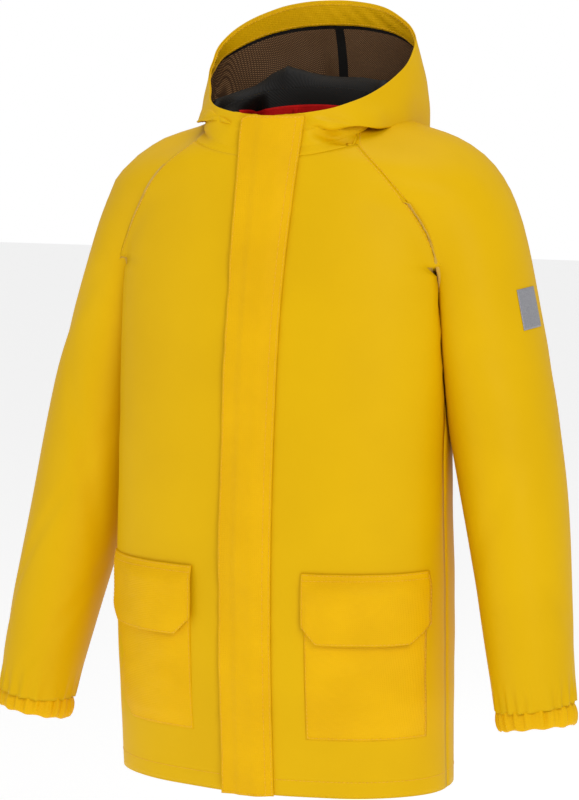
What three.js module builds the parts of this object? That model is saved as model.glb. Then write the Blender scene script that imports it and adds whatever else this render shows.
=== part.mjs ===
// Hooded foul weather jacket, as worn and zipped up: raglan sleeves with gathered cuffs, a storm flap over a
// front zip, two flapped patch pockets, a lined hood lying back on the shoulders and a hanger loop.
// Millimetres. +Z is up, +X is the wearer's left and the front faces -Y. The origin is on the middle of the
// neck opening, level with the seam at the back of the neck.
//
// The cloth skin is one field: a torso of oval sections, joined softly to two arms above the armpits and
// pressed against them below. Every panel is a stretch of that skin, found by shooting rays from inside it,
// and is then given the cloth's thickness inwards.

import * as THREE from 'three';

// ---- Driving dimensions ------------------------------------------------------------------------------------
const CLOTH = 1.6;               // thickness of a panel with its seam allowances
const SEAM_GAP = 1.7;            // space kept between two panels that are sewn together
const LAYER_GAP = 0.6;           // space kept between two layers that lie on each other

// Body
const HEM_Z = -783;
const HEM_DEPTH = 22;            // turned-up hem
const HEM_CLEARANCE = 2.4;       // it hangs a little inside the panels
const ARMPIT_Z = -160;
const UNDERARM_DROP = 12;        // the side seam ends this far below the sleeve's front and back folds
const NECK_FRONT_Z = -34;        // neck seam at the centre front
const NECK_BACK_Z = 2;
const THROAT_Z = 13;             // top of the front closure
const RAGLAN_FRONT = [[103, -19], [140, -54], [168, -100], [189, -156]];   // X and Z, neck to armpit
const RAGLAN_BACK = [[96, -11], [134, -50], [163, -100], [184, -156]];

const FRONT_RADIUS = 2100;       // the centre front, seen from the side, is an arc of this radius
const FRONT_ARC_Z = -530;        // height of its foremost point
const FRONT_ARC_Y = -140;
const TORSO_POWER = 2.35;        // 2 is an ellipse, more is squarer
const MIDDLE_SHARE = 0.55;       // way from back to front of the widest place of a section
const TORSO_HALF_WIDTH = [[-790, 203], [-570, 202], [-380, 196], [-190, 200], [-80, 188], [-40, 148],
  [-15, 106], [10, 80], [70, 60]];
const TORSO_BACK = [[-790, 128], [-570, 124], [-380, 118], [-190, 135], [-90, 142], [-40, 128], [0, 98],
  [70, 70]];

// Arms
const ARM_LINE = [[112, 58, -52], [192, 52, -98], [238, 36, -250], [280, 10, -440], [320, -26, -684]];
const ARM_ACROSS = [[0, 60], [0.15, 65], [0.35, 65], [0.6, 63], [0.85, 54], [1, 47]];
const ARM_DEEP = [[0, 84], [0.15, 86], [0.35, 80], [0.65, 68], [0.9, 57], [1, 50]];
const SHOULDER_BLEND = [[-230, 6], [-180, 8], [-100, 30], [-45, 62], [-20, 44], [10, 12]];
const SLEEVE_EASE = 3;           // space between a hanging sleeve and the body
const SHOULDER_AXIS = [190, -96];    // X and Z of the axis that a sleeve swings about
const SWING_RADIUS = 104;        // the sleeve parts from the shoulder on a cylinder about that axis
const SWING_GAP = 3;
const CUFF_HEIGHT = 26;
const CUFF_RADIUS = 42;
const ELASTIC_WIDTH = 18;
const ELASTIC_THICKNESS = 1.2;

// Front closure
const ZIP_GAP = 1.6;             // between the two rows of teeth
const TOOTH_WIDTH = 3;
const TOOTH_HEIGHT = 2.4;
const TAPE_WIDTH = 15;
const TAPE_THICKNESS = 0.8;
const ZIP_BOTTOM_Z = -728;
const EDGE_X = 9;                // front panels stop this far from the centre
const FLAP_SEWN_X = 38;
const FLAP_FREE_X = -34;
const FLAP_RISE = 11;            // the flap's highest stand over the zip
const FLAP_EDGE_RISE = 5;
const SNAP_COUNT = 5;
const SNAP_X = -25;
const SNAP_TOP_Z = -56;
const SNAP_PITCH = 160;
const SNAP_RADIUS = 6;

// Pockets
const POCKET_X = 72;             // inner edge
const POCKET_WIDTH = 126;        // measured across X; the cloth itself curves round the body
const POCKET_TOP_Z = -528;
const POCKET_HEIGHT = 184;
const POCKET_BULGE = 10;
const POCKET_FLAP_TOP_Z = -513;
const POCKET_FLAP_DEPTH = 82;
const POCKET_FLAP_OVERLAP = 3;   // the flap is this much wider than the bag on each side
const POCKET_FLAP_CORNER = 18;
const POCKET_SNAP_DROP = 62;     // from the flap's top edge

// Hood
const STAND_HEIGHT = 42;
const LINING = 1;                // thickness of the knitted lining

// Press studs: [radius, height] outlines, turned about their middle
const STUD_PLATE = 0.7;          // thickness of a stud's foot
const STUD_HEIGHT = 1.3;
const SOCKET_PLATE = 0.6;        // depth of the well in a socket that takes the stud
const SOCKET_DEPTH = 2.2;
const POCKET_SOCKET_DEPTH = 1.6;
const STUD_SIDES = 12;

const COLOUR = {
  shell: 0xd9ab06, trim: 0xe6ae10, lining: 0x3a3128, black: 0x1c1a18, red: 0xc81e1c, metal: 0xb8b8b4,
  elastic: 0xe9e4d8, tape: 0xd8a60a, label: 0x9a9ba0,
};

// ---- The skin ----------------------------------------------------------------------------------------------
const clamp = THREE.MathUtils.clamp;
const mix = THREE.MathUtils.lerp;

function smoothstep(from, to, value) {
  const t = clamp((value - from) / (to - from), 0, 1);
  return t * t * (3 - 2 * t);
}

// Smooth curve through [at, value] pairs that never overshoots them.
function along(pairs, at) {
  const last = pairs.length - 1;
  if (at <= pairs[0][0]) return pairs[0][1];
  if (at >= pairs[last][0]) return pairs[last][1];
  const slopes = pairs.slice(1).map((pair, i) => (pair[1] - pairs[i][1]) / (pair[0] - pairs[i][0]));
  const bend = (i) => {
    if (i === 0 || i === last) return slopes[Math.min(i, last - 1)];
    const [before, after] = [slopes[i - 1], slopes[i]];
    return before * after <= 0 ? 0 : (2 * before * after) / (before + after);
  };
  const i = pairs.findIndex((pair, k) => k > 0 && at <= pair[0]) - 1;
  const span = pairs[i + 1][0] - pairs[i][0];
  const t = (at - pairs[i][0]) / span;
  const rise = span * (bend(i) * t * (1 - t) ** 2 - bend(i + 1) * t * t * (1 - t));
  return mix(pairs[i][1], pairs[i + 1][1], t * t * (3 - 2 * t)) + rise;
}

function frontY(z) {
  const dz = z - FRONT_ARC_Z;
  return FRONT_ARC_Y + FRONT_RADIUS - Math.sqrt(FRONT_RADIUS ** 2 - dz ** 2);
}

function torsoMiddleY(z) {
  return mix(along(TORSO_BACK, z), frontY(z), MIDDLE_SHARE);
}

function torsoField(p) {
  const halfWidth = along(TORSO_HALF_WIDTH, p.z);
  const middle = torsoMiddleY(p.z);
  const halfDepth = p.y < middle ? middle - frontY(p.z) : along(TORSO_BACK, p.z) - middle;
  const sum = (Math.abs(p.x) / halfWidth) ** TORSO_POWER + (Math.abs(p.y - middle) / halfDepth) ** TORSO_POWER;
  return (sum ** (1 / TORSO_POWER) - 1) * Math.min(halfWidth, halfDepth);
}

const armCurve = new THREE.CatmullRomCurve3(ARM_LINE.map((p) => new THREE.Vector3(...p)), false, 'catmullrom');
const ARM_STEPS = 36;
const armPoints = armCurve.getSpacedPoints(ARM_STEPS);

function armField(p) {
  const side = Math.abs(p.x);
  let best = { distance: Infinity };
  for (let i = 0; i < ARM_STEPS; i += 1) {
    const a = armPoints[i];
    const b = armPoints[i + 1];
    const d = b.clone().sub(a);
    const t = clamp(((side - a.x) * d.x + (p.y - a.y) * d.y + (p.z - a.z) * d.z) / d.lengthSq(), 0, 1);
    const nearest = a.clone().addScaledVector(d, t);
    const distance = Math.hypot(side - nearest.x, p.y - nearest.y, p.z - nearest.z);
    if (distance < best.distance) best = { distance, nearest, share: (i + t) / ARM_STEPS };
  }
  const across = along(ARM_ACROSS, best.share);
  const deep = along(ARM_DEEP, best.share);
  const acrossPart = Math.hypot(side - best.nearest.x, p.z - best.nearest.z) / across;
  return (Math.hypot(acrossPart, (p.y - best.nearest.y) / deep) - 1) * Math.min(across, deep);
}

// Above the armpits torso and arms are one soft shape.
function wholeField(p) {
  const torso = torsoField(p);
  const arm = armField(p);
  const radius = along(SHOULDER_BLEND, p.z);
  const h = clamp(0.5 + (0.5 * (arm - torso)) / radius, 0, 1);
  return arm * (1 - h) + torso * h - radius * h * (1 - h);
}

// Below them the body and a sleeve flatten each other where they press together.
function bodyField(p) {
  const torso = torsoField(p);
  return Math.max(torso, (torso - armField(p) + SLEEVE_EASE) / 2);
}

function sleeveField(p) {
  const arm = armField(p);
  return Math.max(arm, (arm - torsoField(p) + SLEEVE_EASE) / 2);
}

const RAY_STEP = 6;

// First point outside the field along a ray that starts inside it.
function shoot(field, from, direction, reach) {
  const at = (d) => from.clone().addScaledVector(direction, d);
  let inside = 0;
  let outside = reach;
  for (let d = RAY_STEP; d < reach; d += RAY_STEP) {
    if (field(at(d)) > 0) {
      outside = d;
      break;
    }
    inside = d;
  }
  for (let i = 0; i < 22; i += 1) {
    const middle = (inside + outside) / 2;
    if (field(at(middle)) > 0) outside = middle;
    else inside = middle;
  }
  return at((inside + outside) / 2);
}

function normalOf(field, p) {
  const h = 1;
  const change = (x, y, z) => field(new THREE.Vector3(p.x + x, p.y + y, p.z + z))
    - field(new THREE.Vector3(p.x - x, p.y - y, p.z - z));
  return new THREE.Vector3(change(h, 0, 0), change(0, h, 0), change(0, 0, h)).normalize();
}

const REACH = 420;
const FACE_START = 15;           // rays to the front and back start this far from the middle of the body

function bodyPoint(angle, z, field = bodyField) {
  const from = new THREE.Vector3(0, torsoMiddleY(z), z);
  const direction = new THREE.Vector3(Math.sin(angle), -Math.cos(angle), 0);
  const p = shoot(field, from, direction, REACH);
  return { p, n: normalOf(field, p) };
}

// The point of the skin in front of, or behind, a place in the X-Z plane.
function facePoint(x, z, back = false, field = wholeField) {
  const sign = back ? 1 : -1;
  const from = new THREE.Vector3(x, torsoMiddleY(z) + sign * FACE_START, z);
  const p = shoot(field, from, new THREE.Vector3(0, sign, 0), REACH);
  return { p, n: normalOf(field, p) };
}

// ---- Solids ------------------------------------------------------------------------------------------------
const range = (count) => Array.from({ length: count }, (_, i) => i);
const shares = (count) => range(count + 1).map((i) => i / count);
const lift = (point, distance) => ({ p: point.p.clone().addScaledVector(point.n, distance), n: point.n });
const mirror = (point) => ({
  p: point.p.clone().multiply(new THREE.Vector3(-1, 1, 1)),
  n: point.n.clone().multiply(new THREE.Vector3(-1, 1, 1)),
});

function solid(positions, triangles) {
  const geometry = new THREE.BufferGeometry();
  geometry.setAttribute('position', new THREE.Float32BufferAttribute(positions.flatMap((p) => p.toArray()), 3));
  geometry.setIndex(triangles.flat());
  let volume = 0;
  for (const [a, b, c] of triangles) volume += positions[a].dot(positions[b].clone().cross(positions[c]));
  if (volume < 0) geometry.setIndex(triangles.map(([a, b, c]) => [a, c, b]).flat());
  return geometry;
}

// A sheet from rows of surface points: its outer face lies on them and it is thick along their normals.
// 'around' joins the last column to the first.
function sheet(rows, thickness, around = false) {
  const height = rows.length;
  const width = rows[0].length;
  const inner = rows.map((row) => row.map((point) => lift(point, -thickness)));
  const positions = [...rows.flat(), ...inner.flat()].map((point) => point.p);
  const id = (layer, r, c) => layer * height * width + r * width + (c % width);
  const triangles = [];
  const quad = (a, b, c, d) => triangles.push([a, b, c], [a, c, d]);
  const lastColumn = around ? width : width - 1;
  for (let r = 0; r < height - 1; r += 1) {
    for (let c = 0; c < lastColumn; c += 1) {
      quad(id(0, r, c), id(0, r, c + 1), id(0, r + 1, c + 1), id(0, r + 1, c));
      quad(id(1, r, c), id(1, r + 1, c), id(1, r + 1, c + 1), id(1, r, c + 1));
    }
    if (around) continue;
    quad(id(0, r, 0), id(0, r + 1, 0), id(1, r + 1, 0), id(1, r, 0));
    quad(id(0, r, width - 1), id(1, r, width - 1), id(1, r + 1, width - 1), id(0, r + 1, width - 1));
  }
  for (let c = 0; c < lastColumn; c += 1) {
    quad(id(0, 0, c), id(1, 0, c), id(1, 0, c + 1), id(0, 0, c + 1));
    const r = height - 1;
    quad(id(0, r, c), id(0, r, c + 1), id(1, r, c + 1), id(1, r, c));
  }
  return solid(positions, triangles);
}

// A closed outline carried along places, and closed up again after the last one unless it has ends.
function sweep(outlines, closed) {
  const size = outlines[0].length;
  const positions = outlines.flat();
  const triangles = [];
  const last = closed ? outlines.length : outlines.length - 1;
  for (let i = 0; i < last; i += 1) {
    const next = (i + 1) % outlines.length;
    for (let k = 0; k < size; k += 1) {
      const m = (k + 1) % size;
      triangles.push([i * size + k, i * size + m, next * size + m], [i * size + k, next * size + m, next * size + k]);
    }
  }
  if (!closed) {
    const flat = outlines[0].map((_, k) => new THREE.Vector2(Math.cos((2 * Math.PI * k) / size),
      Math.sin((2 * Math.PI * k) / size)));
    const end = (outlines.length - 1) * size;
    for (const [a, b, c] of THREE.ShapeUtils.triangulateShape(flat, [])) {
      triangles.push([a, c, b], [end + a, end + b, end + c]);
    }
  }
  return solid(positions, triangles);
}

const jacket = new THREE.Group();

function add(name, geometry, colour, roughness = 0.6, metalness = 0) {
  const mesh = new THREE.Mesh(geometry, new THREE.MeshStandardMaterial({ color: colour, roughness, metalness }));
  mesh.name = name;
  jacket.add(mesh);
  return mesh;
}

const SIDES = [['left', 1], ['right', -1]];
const onSide = (side, rows) => (side > 0 ? rows : rows.map((row) => row.map(mirror)));

// ---- Body panels -------------------------------------------------------------------------------------------
const BODY_ROWS = 10;
const YOKE_ROWS = 6;
const PANEL_COLUMNS = 9;
const SIDE_ANGLE = Math.PI / 2;
const TYPICAL_RADIUS = 125;      // turns a small width at the centre front into an angle

function lineThrough(pairs, t) {
  const curve = new THREE.CatmullRomCurve3(pairs.map(([x, z]) => new THREE.Vector3(x, 0, z)), false, 'catmullrom');
  return curve.getPoint(t);
}

// Half of the front or of the back, on the wearer's left, from the hem to the neck.
function panelRows(back, innerX) {
  const raglan = back ? RAGLAN_BACK : RAGLAN_FRONT;
  const neckZ = back ? NECK_BACK_Z : NECK_FRONT_Z;
  const sideGap = SEAM_GAP / 2 / TYPICAL_RADIUS;
  const first = innerX / TYPICAL_RADIUS;
  const angles = back ? [Math.PI - first, SIDE_ANGLE + sideGap] : [first, SIDE_ANGLE - sideGap];
  const rows = shares(BODY_ROWS).map((v) => {
    const z = mix(HEM_Z, ARMPIT_Z - UNDERARM_DROP, v);
    return shares(PANEL_COLUMNS).map((u) => bodyPoint(mix(angles[0], angles[1], u), z));
  });
  for (const v of shares(YOKE_ROWS)) {
    const edge = lineThrough(raglan, 1 - v);
    const centreZ = mix(ARMPIT_Z, neckZ, v);
    rows.push(shares(PANEL_COLUMNS).map((u) => {
      const x = mix(innerX, edge.x - SEAM_GAP / 2, u);
      return facePoint(x, mix(centreZ, edge.z, u * u), back);
    }));
  }
  return rows;
}

for (const [side, sign] of SIDES) {
  add(`front_panel_${side}`, sheet(onSide(sign, panelRows(false, EDGE_X)), CLOTH), COLOUR.shell);
}

const halfBack = panelRows(true, 0);
const wholeBack = halfBack.map((row) => [...row.slice(1).reverse().map(mirror), ...row]);
add('back_panel', sheet(wholeBack, CLOTH), COLOUR.shell);

// A band inside the hem, from one zip edge round the back to the other.
const HEM_COLUMNS = 36;
const hemRows = shares(1).map((v) => {
  const z = HEM_Z + LAYER_GAP + v * HEM_DEPTH;
  const first = (EDGE_X + TAPE_WIDTH) / TYPICAL_RADIUS;
  return shares(HEM_COLUMNS).map((u) => lift(bodyPoint(mix(first, 2 * Math.PI - first, u), z), -CLOTH - HEM_CLEARANCE));
});
add('hem_facing', sheet(hemRows, CLOTH / 2), COLOUR.trim);

// ---- Sleeves -----------------------------------------------------------------------------------------------
const ROUND_COLUMNS = 20;
const SHOULDER_ROWS = 5;
const SLEEVE_ROWS = 9;

function armFrame(t) {
  const middle = armCurve.getPointAt(t);
  const axis = armCurve.getTangentAt(t);
  const outward = new THREE.Vector3(0, 1, 0).cross(axis).normalize().negate();
  return { middle, axis, outward };
}

// Angle 0 is the underarm, a quarter turn is the front and a half turn is the outside of the arm.
function armPoint(t, angle, field) {
  const { middle, outward } = armFrame(t);
  const direction = outward.clone().multiplyScalar(-Math.cos(angle));
  direction.y -= Math.sin(angle);
  const p = shoot(field, middle, direction.normalize(), REACH / 2);
  return { p, n: normalOf(field, p) };
}

const fromShoulder = (p) => Math.hypot(p.x - SHOULDER_AXIS[0], p.z - SHOULDER_AXIS[1]);
const UNDERARM_T = 0.255;        // share of the arm line where the underarm seam crosses
const FIRST_T = 0.16;            // share of the arm line where the search for the parting cylinder starts
const LAST_T = 0.55;

// The few columns under the arm are wide, so that the rest spread evenly over the raglan and the neck.
const UNDERARM_COLUMNS = 2;
const UNDERARM_ANGLE = 1.08;     // radians
function columnAngle(k) {
  const fromMiddle = Math.min(k, ROUND_COLUMNS - k);
  const over = fromMiddle - UNDERARM_COLUMNS;
  const angle = over < 0
    ? (UNDERARM_ANGLE * fromMiddle) / UNDERARM_COLUMNS
    : mix(UNDERARM_ANGLE, Math.PI, over / (ROUND_COLUMNS / 2 - UNDERARM_COLUMNS));
  return k <= ROUND_COLUMNS / 2 ? angle : 2 * Math.PI - angle;
}

function ringAtRadius(radius) {
  return range(ROUND_COLUMNS).map((k) => {
    const angle = columnAngle(k);
    let near = FIRST_T;
    let far = LAST_T;
    for (let i = 0; i < 16; i += 1) {
      const t = (near + far) / 2;
      if (fromShoulder(armPoint(t, angle, sleeveField).p) < radius) near = t;
      else far = t;
    }
    return { t: near, angle, ...armPoint(near, angle, sleeveField) };
  });
}

function sleeveRows() {
  const top = ringAtRadius(SWING_RADIUS + SWING_GAP);
  const rows = [top];
  for (const v of shares(SLEEVE_ROWS).slice(1)) {
    rows.push(top.map((start) => armPoint(mix(start.t, 1, v), start.angle, sleeveField)));
  }
  return rows;
}

const SHOULDER_HEART = new THREE.Vector3(165, 55, -120);   // rays for the shoulder start here
const FRONT_TOP = UNDERARM_COLUMNS + YOKE_ROWS;
const BACK_TOP = ROUND_COLUMNS - FRONT_TOP;

// The edge that the sleeve is sewn in by: up the front raglan, along the neck and down the back one.
function armholePoint(column) {
  const seamPoint = (raglan, t, back) => {
    const place = lineThrough(raglan, t);
    return facePoint(place.x + SEAM_GAP / 2, place.z, back);
  };
  if (column <= FRONT_TOP) return seamPoint(RAGLAN_FRONT, (FRONT_TOP - column) / YOKE_ROWS, false);
  if (column >= BACK_TOP) return seamPoint(RAGLAN_BACK, (column - BACK_TOP) / YOKE_ROWS, true);
  const front = seamPoint(RAGLAN_FRONT, 0, false).p;
  const rear = seamPoint(RAGLAN_BACK, 0, true).p;
  const p = front.lerp(rear, (column - FRONT_TOP) / (BACK_TOP - FRONT_TOP));
  return { p, n: normalOf(wholeField, p) };
}

function shoulderColumn(end, column) {
  const under = column < UNDERARM_COLUMNS || column > ROUND_COLUMNS - UNDERARM_COLUMNS;
  if (under) {
    return shares(SHOULDER_ROWS).map((v) => armPoint(mix(UNDERARM_T, end.t, v), end.angle, sleeveField));
  }
  const edge = armholePoint(column);
  return shares(SHOULDER_ROWS).map((v) => {
    if (v === 0) return edge;
    if (v === 1) return end;
    const target = edge.p.clone().lerp(end.p, v);
    const field = target.z < ARMPIT_Z ? sleeveField : wholeField;
    const p = shoot(field, SHOULDER_HEART, target.sub(SHOULDER_HEART).normalize(), REACH / 2);
    return { p, n: normalOf(field, p) };
  });
}

function shoulderRows() {
  const columns = ringAtRadius(SWING_RADIUS).map(shoulderColumn);
  return shares(SHOULDER_ROWS).map((_, r) => columns.map((column) => column[r]));
}

const leftShoulder = shoulderRows();
const leftSleeve = sleeveRows();
for (const [side, sign] of SIDES) {
  add(`shoulder_${side}`, sheet(onSide(sign, leftShoulder), CLOTH, true), COLOUR.shell);
  add(`sleeve_${side}`, sheet(onSide(sign, leftSleeve), CLOTH, true), COLOUR.shell);
}

// A ring round the end of the sleeve: each outline point is [stand-off from the cuff's radius, way along].
function cuffRing(outline) {
  const { middle, axis, outward } = armFrame(1);
  const forward = outward.clone().cross(axis);
  return range(ROUND_COLUMNS).map((k) => {
    const angle = (2 * Math.PI * k) / ROUND_COLUMNS;
    const radial = outward.clone().multiplyScalar(Math.cos(angle)).addScaledVector(forward, Math.sin(angle));
    return outline.map(([off, way]) => middle.clone().addScaledVector(radial, CUFF_RADIUS + off)
      .addScaledVector(axis, way + LAYER_GAP));
  });
}

const CASING_ROOM = ELASTIC_THICKNESS + 2 * LAYER_GAP;
const casingInner = -CASING_ROOM - CLOTH;
const casingOutline = [[CLOTH, 0], [CLOTH, CUFF_HEIGHT], [casingInner, CUFF_HEIGHT], [casingInner, 0],
  [-CASING_ROOM, 0], [-CASING_ROOM, CUFF_HEIGHT - CLOTH], [0, CUFF_HEIGHT - CLOTH], [0, 0]];
const elasticStart = (CUFF_HEIGHT - CLOTH - ELASTIC_WIDTH) / 2;
const elasticFaces = [-LAYER_GAP - ELASTIC_THICKNESS, -LAYER_GAP];
const elasticOutline = [[elasticFaces[0], elasticStart], [elasticFaces[1], elasticStart],
  [elasticFaces[1], elasticStart + ELASTIC_WIDTH], [elasticFaces[0], elasticStart + ELASTIC_WIDTH]];
for (const [side, sign] of SIDES) {
  const flip = (rings) => rings.map((ring) => ring.map((p) => new THREE.Vector3(sign * p.x, p.y, p.z)));
  add(`cuff_casing_${side}`, sweep(flip(cuffRing(casingOutline)), true), COLOUR.trim);
  add(`cuff_elastic_${side}`, sweep(flip(cuffRing(elasticOutline)), true), COLOUR.elastic);
}

// ---- Sleeve label, a plain reflective patch ----------------------------------------------------------------
const LABEL_T = [0.295, 0.355];
const LABEL_ANGLES = [2.55, 3.2];
const labelRows = shares(2).map((v) => shares(3).map((u) => lift(
  armPoint(mix(...LABEL_T, v), mix(...LABEL_ANGLES, u), sleeveField), LAYER_GAP * 2 + 1)));
add('sleeve_label', sheet(labelRows, 1), COLOUR.label, 0.3);

// ---- Zip ---------------------------------------------------------------------------------------------------
const ZIP_TOP_Z = THROAT_Z - 6;
const TEETH_END_GAP = 3;         // the teeth start and stop this far from the ends of the tape
const TEETH_BACK = 0.8;          // they stand this far behind the tape
const TAPE_CLEARANCE = 1;

// A strip that follows the centre front; faces are [X, stand-off] outline points.
function frontStrip(outline, top, bottom, count) {
  const outlines = shares(count).map((v) => {
    const z = mix(bottom, top, v);
    const slope = (z - FRONT_ARC_Z) / FRONT_RADIUS;
    return outline.map(([x, off]) => new THREE.Vector3(
      x, frontY(z) - off * Math.sqrt(1 - slope * slope), z + off * slope));
  });
  return sweep(outlines, false);
}

const box4 = (x0, x1, y0, y1) => [[x0, y0], [x1, y0], [x1, y1], [x0, y1]];
const STRIP_STEPS = 18;
const toothInner = ZIP_GAP / 2;
const toothOuter = toothInner + TOOTH_WIDTH;
const tapeInner = toothOuter + LAYER_GAP / 2;
const tapeBack = -CLOTH - LAYER_GAP - TAPE_THICKNESS - TAPE_CLEARANCE;
const toothBack = tapeBack - TEETH_BACK;
const toothFront = toothBack + TOOTH_HEIGHT;
for (const [side, sign] of SIDES) {
  const place = (x0, x1) => (sign > 0 ? [x0, x1] : [-x1, -x0]);
  add(`zip_tape_${side}`, frontStrip(box4(...place(tapeInner, tapeInner + TAPE_WIDTH), tapeBack,
    tapeBack + TAPE_THICKNESS), ZIP_TOP_Z, ZIP_BOTTOM_Z, STRIP_STEPS), COLOUR.tape);
  add(`zip_teeth_${side}`, frontStrip(box4(...place(toothInner, toothOuter), toothBack, toothFront),
    ZIP_TOP_Z - TEETH_END_GAP, ZIP_BOTTOM_Z + TEETH_END_GAP, STRIP_STEPS), COLOUR.tape);
}
const STOP_HEIGHT = 9;
const stopTop = ZIP_BOTTOM_Z + TEETH_END_GAP - 1;
add('zip_bottom_stop', frontStrip(box4(-toothOuter, toothOuter, toothBack, toothFront), stopTop,
  stopTop - STOP_HEIGHT, 1), COLOUR.metal, 0.35, 0.8);

const SLIDER_LENGTH = 13;
const SLIDER_HALF_WIDTH = 5;
const SLIDER_PLATE = 1.2;
const WEDGE = ZIP_GAP / 2 - LAYER_GAP / 2;
const SLIDER_TOP_Z = ZIP_TOP_Z - 8;
const sliderBack = toothBack - LAYER_GAP;
const sliderFront = toothFront + LAYER_GAP;
const sliderHalf = [
  [SLIDER_HALF_WIDTH, sliderBack - SLIDER_PLATE], [SLIDER_HALF_WIDTH, sliderBack], [WEDGE, sliderBack],
  [WEDGE, sliderFront], [SLIDER_HALF_WIDTH, sliderFront], [SLIDER_HALF_WIDTH, sliderFront + SLIDER_PLATE]];
const sliderOutline = [...sliderHalf, ...sliderHalf.slice().reverse().map(([x, off]) => [-x, off])];

// The slider's outline is hollow-sided, so its ends are closed with a true triangulation.
function profileBar(outline, top, bottom) {
  const shape = new THREE.Shape(outline.map(([x, off]) => new THREE.Vector2(x, off)));
  const geometry = new THREE.ExtrudeGeometry(shape, { depth: top - bottom, bevelEnabled: false });
  geometry.deleteAttribute('normal');
  geometry.deleteAttribute('uv');
  const middle = (top + bottom) / 2;
  geometry.translate(0, 0, bottom - middle);
  geometry.applyMatrix4(new THREE.Matrix4().makeBasis(new THREE.Vector3(1, 0, 0), new THREE.Vector3(0, -1, 0),
    new THREE.Vector3(0, 0, -1)));
  geometry.rotateX(Math.asin((middle - FRONT_ARC_Z) / FRONT_RADIUS) * -1);
  geometry.translate(0, frontY(middle), middle);
  return geometry;
}

add('zip_slider', profileBar(sliderOutline, SLIDER_TOP_Z, SLIDER_TOP_Z - SLIDER_LENGTH), COLOUR.metal, 0.3, 0.9);
const PULL_LENGTH = 26;
const PULL_HALF_WIDTH = 3.5;
const PULL_THICKNESS = 1.4;
const PULL_DROP = 3;             // below the slider's upper end
const pullBack = sliderFront + SLIDER_PLATE + LAYER_GAP;
const pullTop = SLIDER_TOP_Z - PULL_DROP;
add('zip_pull', profileBar(box4(-PULL_HALF_WIDTH, PULL_HALF_WIDTH, pullBack, pullBack + PULL_THICKNESS), pullTop,
  pullTop - PULL_LENGTH), COLOUR.metal, 0.3, 0.9);

// ---- Storm flap with its concealed press studs -------------------------------------------------------------
const FLAP_ROWS = 20;
const FLAP_COLUMNS = 8;

function flapStand(x) {
  const t = (x - FLAP_FREE_X) / (FLAP_SEWN_X - FLAP_FREE_X);
  const rise = t < 0.5 ? mix(FLAP_EDGE_RISE, FLAP_RISE, smoothstep(0.22, 0.38, t)) : FLAP_RISE;
  return CLOTH + LAYER_GAP + rise * (1 - smoothstep(0.62, 0.98, t));
}

// A place on the front given by X and height; above the neck it goes on up the collar.
function frontPoint(x, z, off) {
  const reachZ = Math.min(z, NECK_FRONT_Z);
  const skin = facePoint(x, reachZ);
  if (z <= NECK_FRONT_Z) return lift(skin, off);
  const p = skin.p.clone();
  p.y += frontY(z) - frontY(reachZ);
  p.z = z;
  const n = new THREE.Vector3(skin.n.x, skin.n.y, 0).normalize();
  return lift({ p, n }, off);
}

const flapRows = shares(FLAP_ROWS).map((v) => {
  const z = mix(HEM_Z, THROAT_Z, v);
  return shares(FLAP_COLUMNS).map((u) => {
    const x = mix(FLAP_FREE_X, FLAP_SEWN_X, u);
    return frontPoint(x, z, flapStand(x));
  });
});
add('storm_flap', sheet(flapRows, CLOTH), COLOUR.trim);

// A stud is a stepped disc that lies along the outward direction of the cloth under it.
function disc(place, steps) {
  const geometry = new THREE.LatheGeometry(steps.map(([r, h]) => new THREE.Vector2(r, h)), STUD_SIDES);
  const turn = new THREE.Quaternion().setFromUnitVectors(new THREE.Vector3(0, 1, 0), place.n);
  geometry.applyQuaternion(turn);
  geometry.translate(place.p.x, place.p.y, place.p.z);
  geometry.deleteAttribute('normal');
  geometry.deleteAttribute('uv');
  return geometry;
}

const studProfile = [[0, 0], [SNAP_RADIUS, 0], [SNAP_RADIUS, STUD_PLATE], [SNAP_RADIUS / 2, STUD_PLATE],
  [SNAP_RADIUS / 2, STUD_HEIGHT], [0, STUD_HEIGHT]];
const wellRadius = SNAP_RADIUS / 2 + 0.5;
const socketProfile = (depth) => [[0, -depth + SOCKET_PLATE], [wellRadius, -depth + SOCKET_PLATE],
  [wellRadius, -depth], [SNAP_RADIUS, -depth], [SNAP_RADIUS, 0], [0, 0]];

for (const i of range(SNAP_COUNT)) {
  const z = SNAP_TOP_Z - i * SNAP_PITCH;
  const seat = frontPoint(SNAP_X, z, LAYER_GAP);
  add(`flap_stud_${i + 1}`, disc(seat, studProfile), COLOUR.metal, 0.35, 0.8);
  const cap = frontPoint(SNAP_X, z, flapStand(SNAP_X) - CLOTH - LAYER_GAP);
  add(`flap_socket_${i + 1}`, disc(cap, socketProfile(SOCKET_DEPTH)), COLOUR.metal, 0.35, 0.8);
}

// ---- Pockets -----------------------------------------------------------------------------------------------
const POCKET_STEPS = 8;
const bagStand = (u, v) => CLOTH + LAYER_GAP + POCKET_BULGE * Math.sin(Math.PI * u) ** 0.5
  * mix(0.35, 1, v) * smoothstep(0, 0.12, v);

function pocketPoint(x, z, off) {
  const angle = angleAtX(x, z);
  return lift(bodyPoint(angle, z), off);
}

// The angle, seen from the middle of the body, that meets the skin at this X.
function angleAtX(x, z) {
  let near = 0;
  let far = SIDE_ANGLE;
  for (let i = 0; i < 18; i += 1) {
    const angle = (near + far) / 2;
    if (bodyPoint(angle, z).p.x < x) near = angle;
    else far = angle;
  }
  return (near + far) / 2;
}

const bagRows = shares(POCKET_STEPS).map((v) => {
  const z = mix(POCKET_TOP_Z - POCKET_HEIGHT, POCKET_TOP_Z, v);
  return shares(POCKET_STEPS).map((u) => pocketPoint(POCKET_X + u * POCKET_WIDTH, z, bagStand(u, v)));
});

const POCKET_FLAP_ROWS = [0, 0.25, 0.78, 1];
const POCKET_FLAP_EASE = 3.2;    // space between the flap and the bag under it

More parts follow.
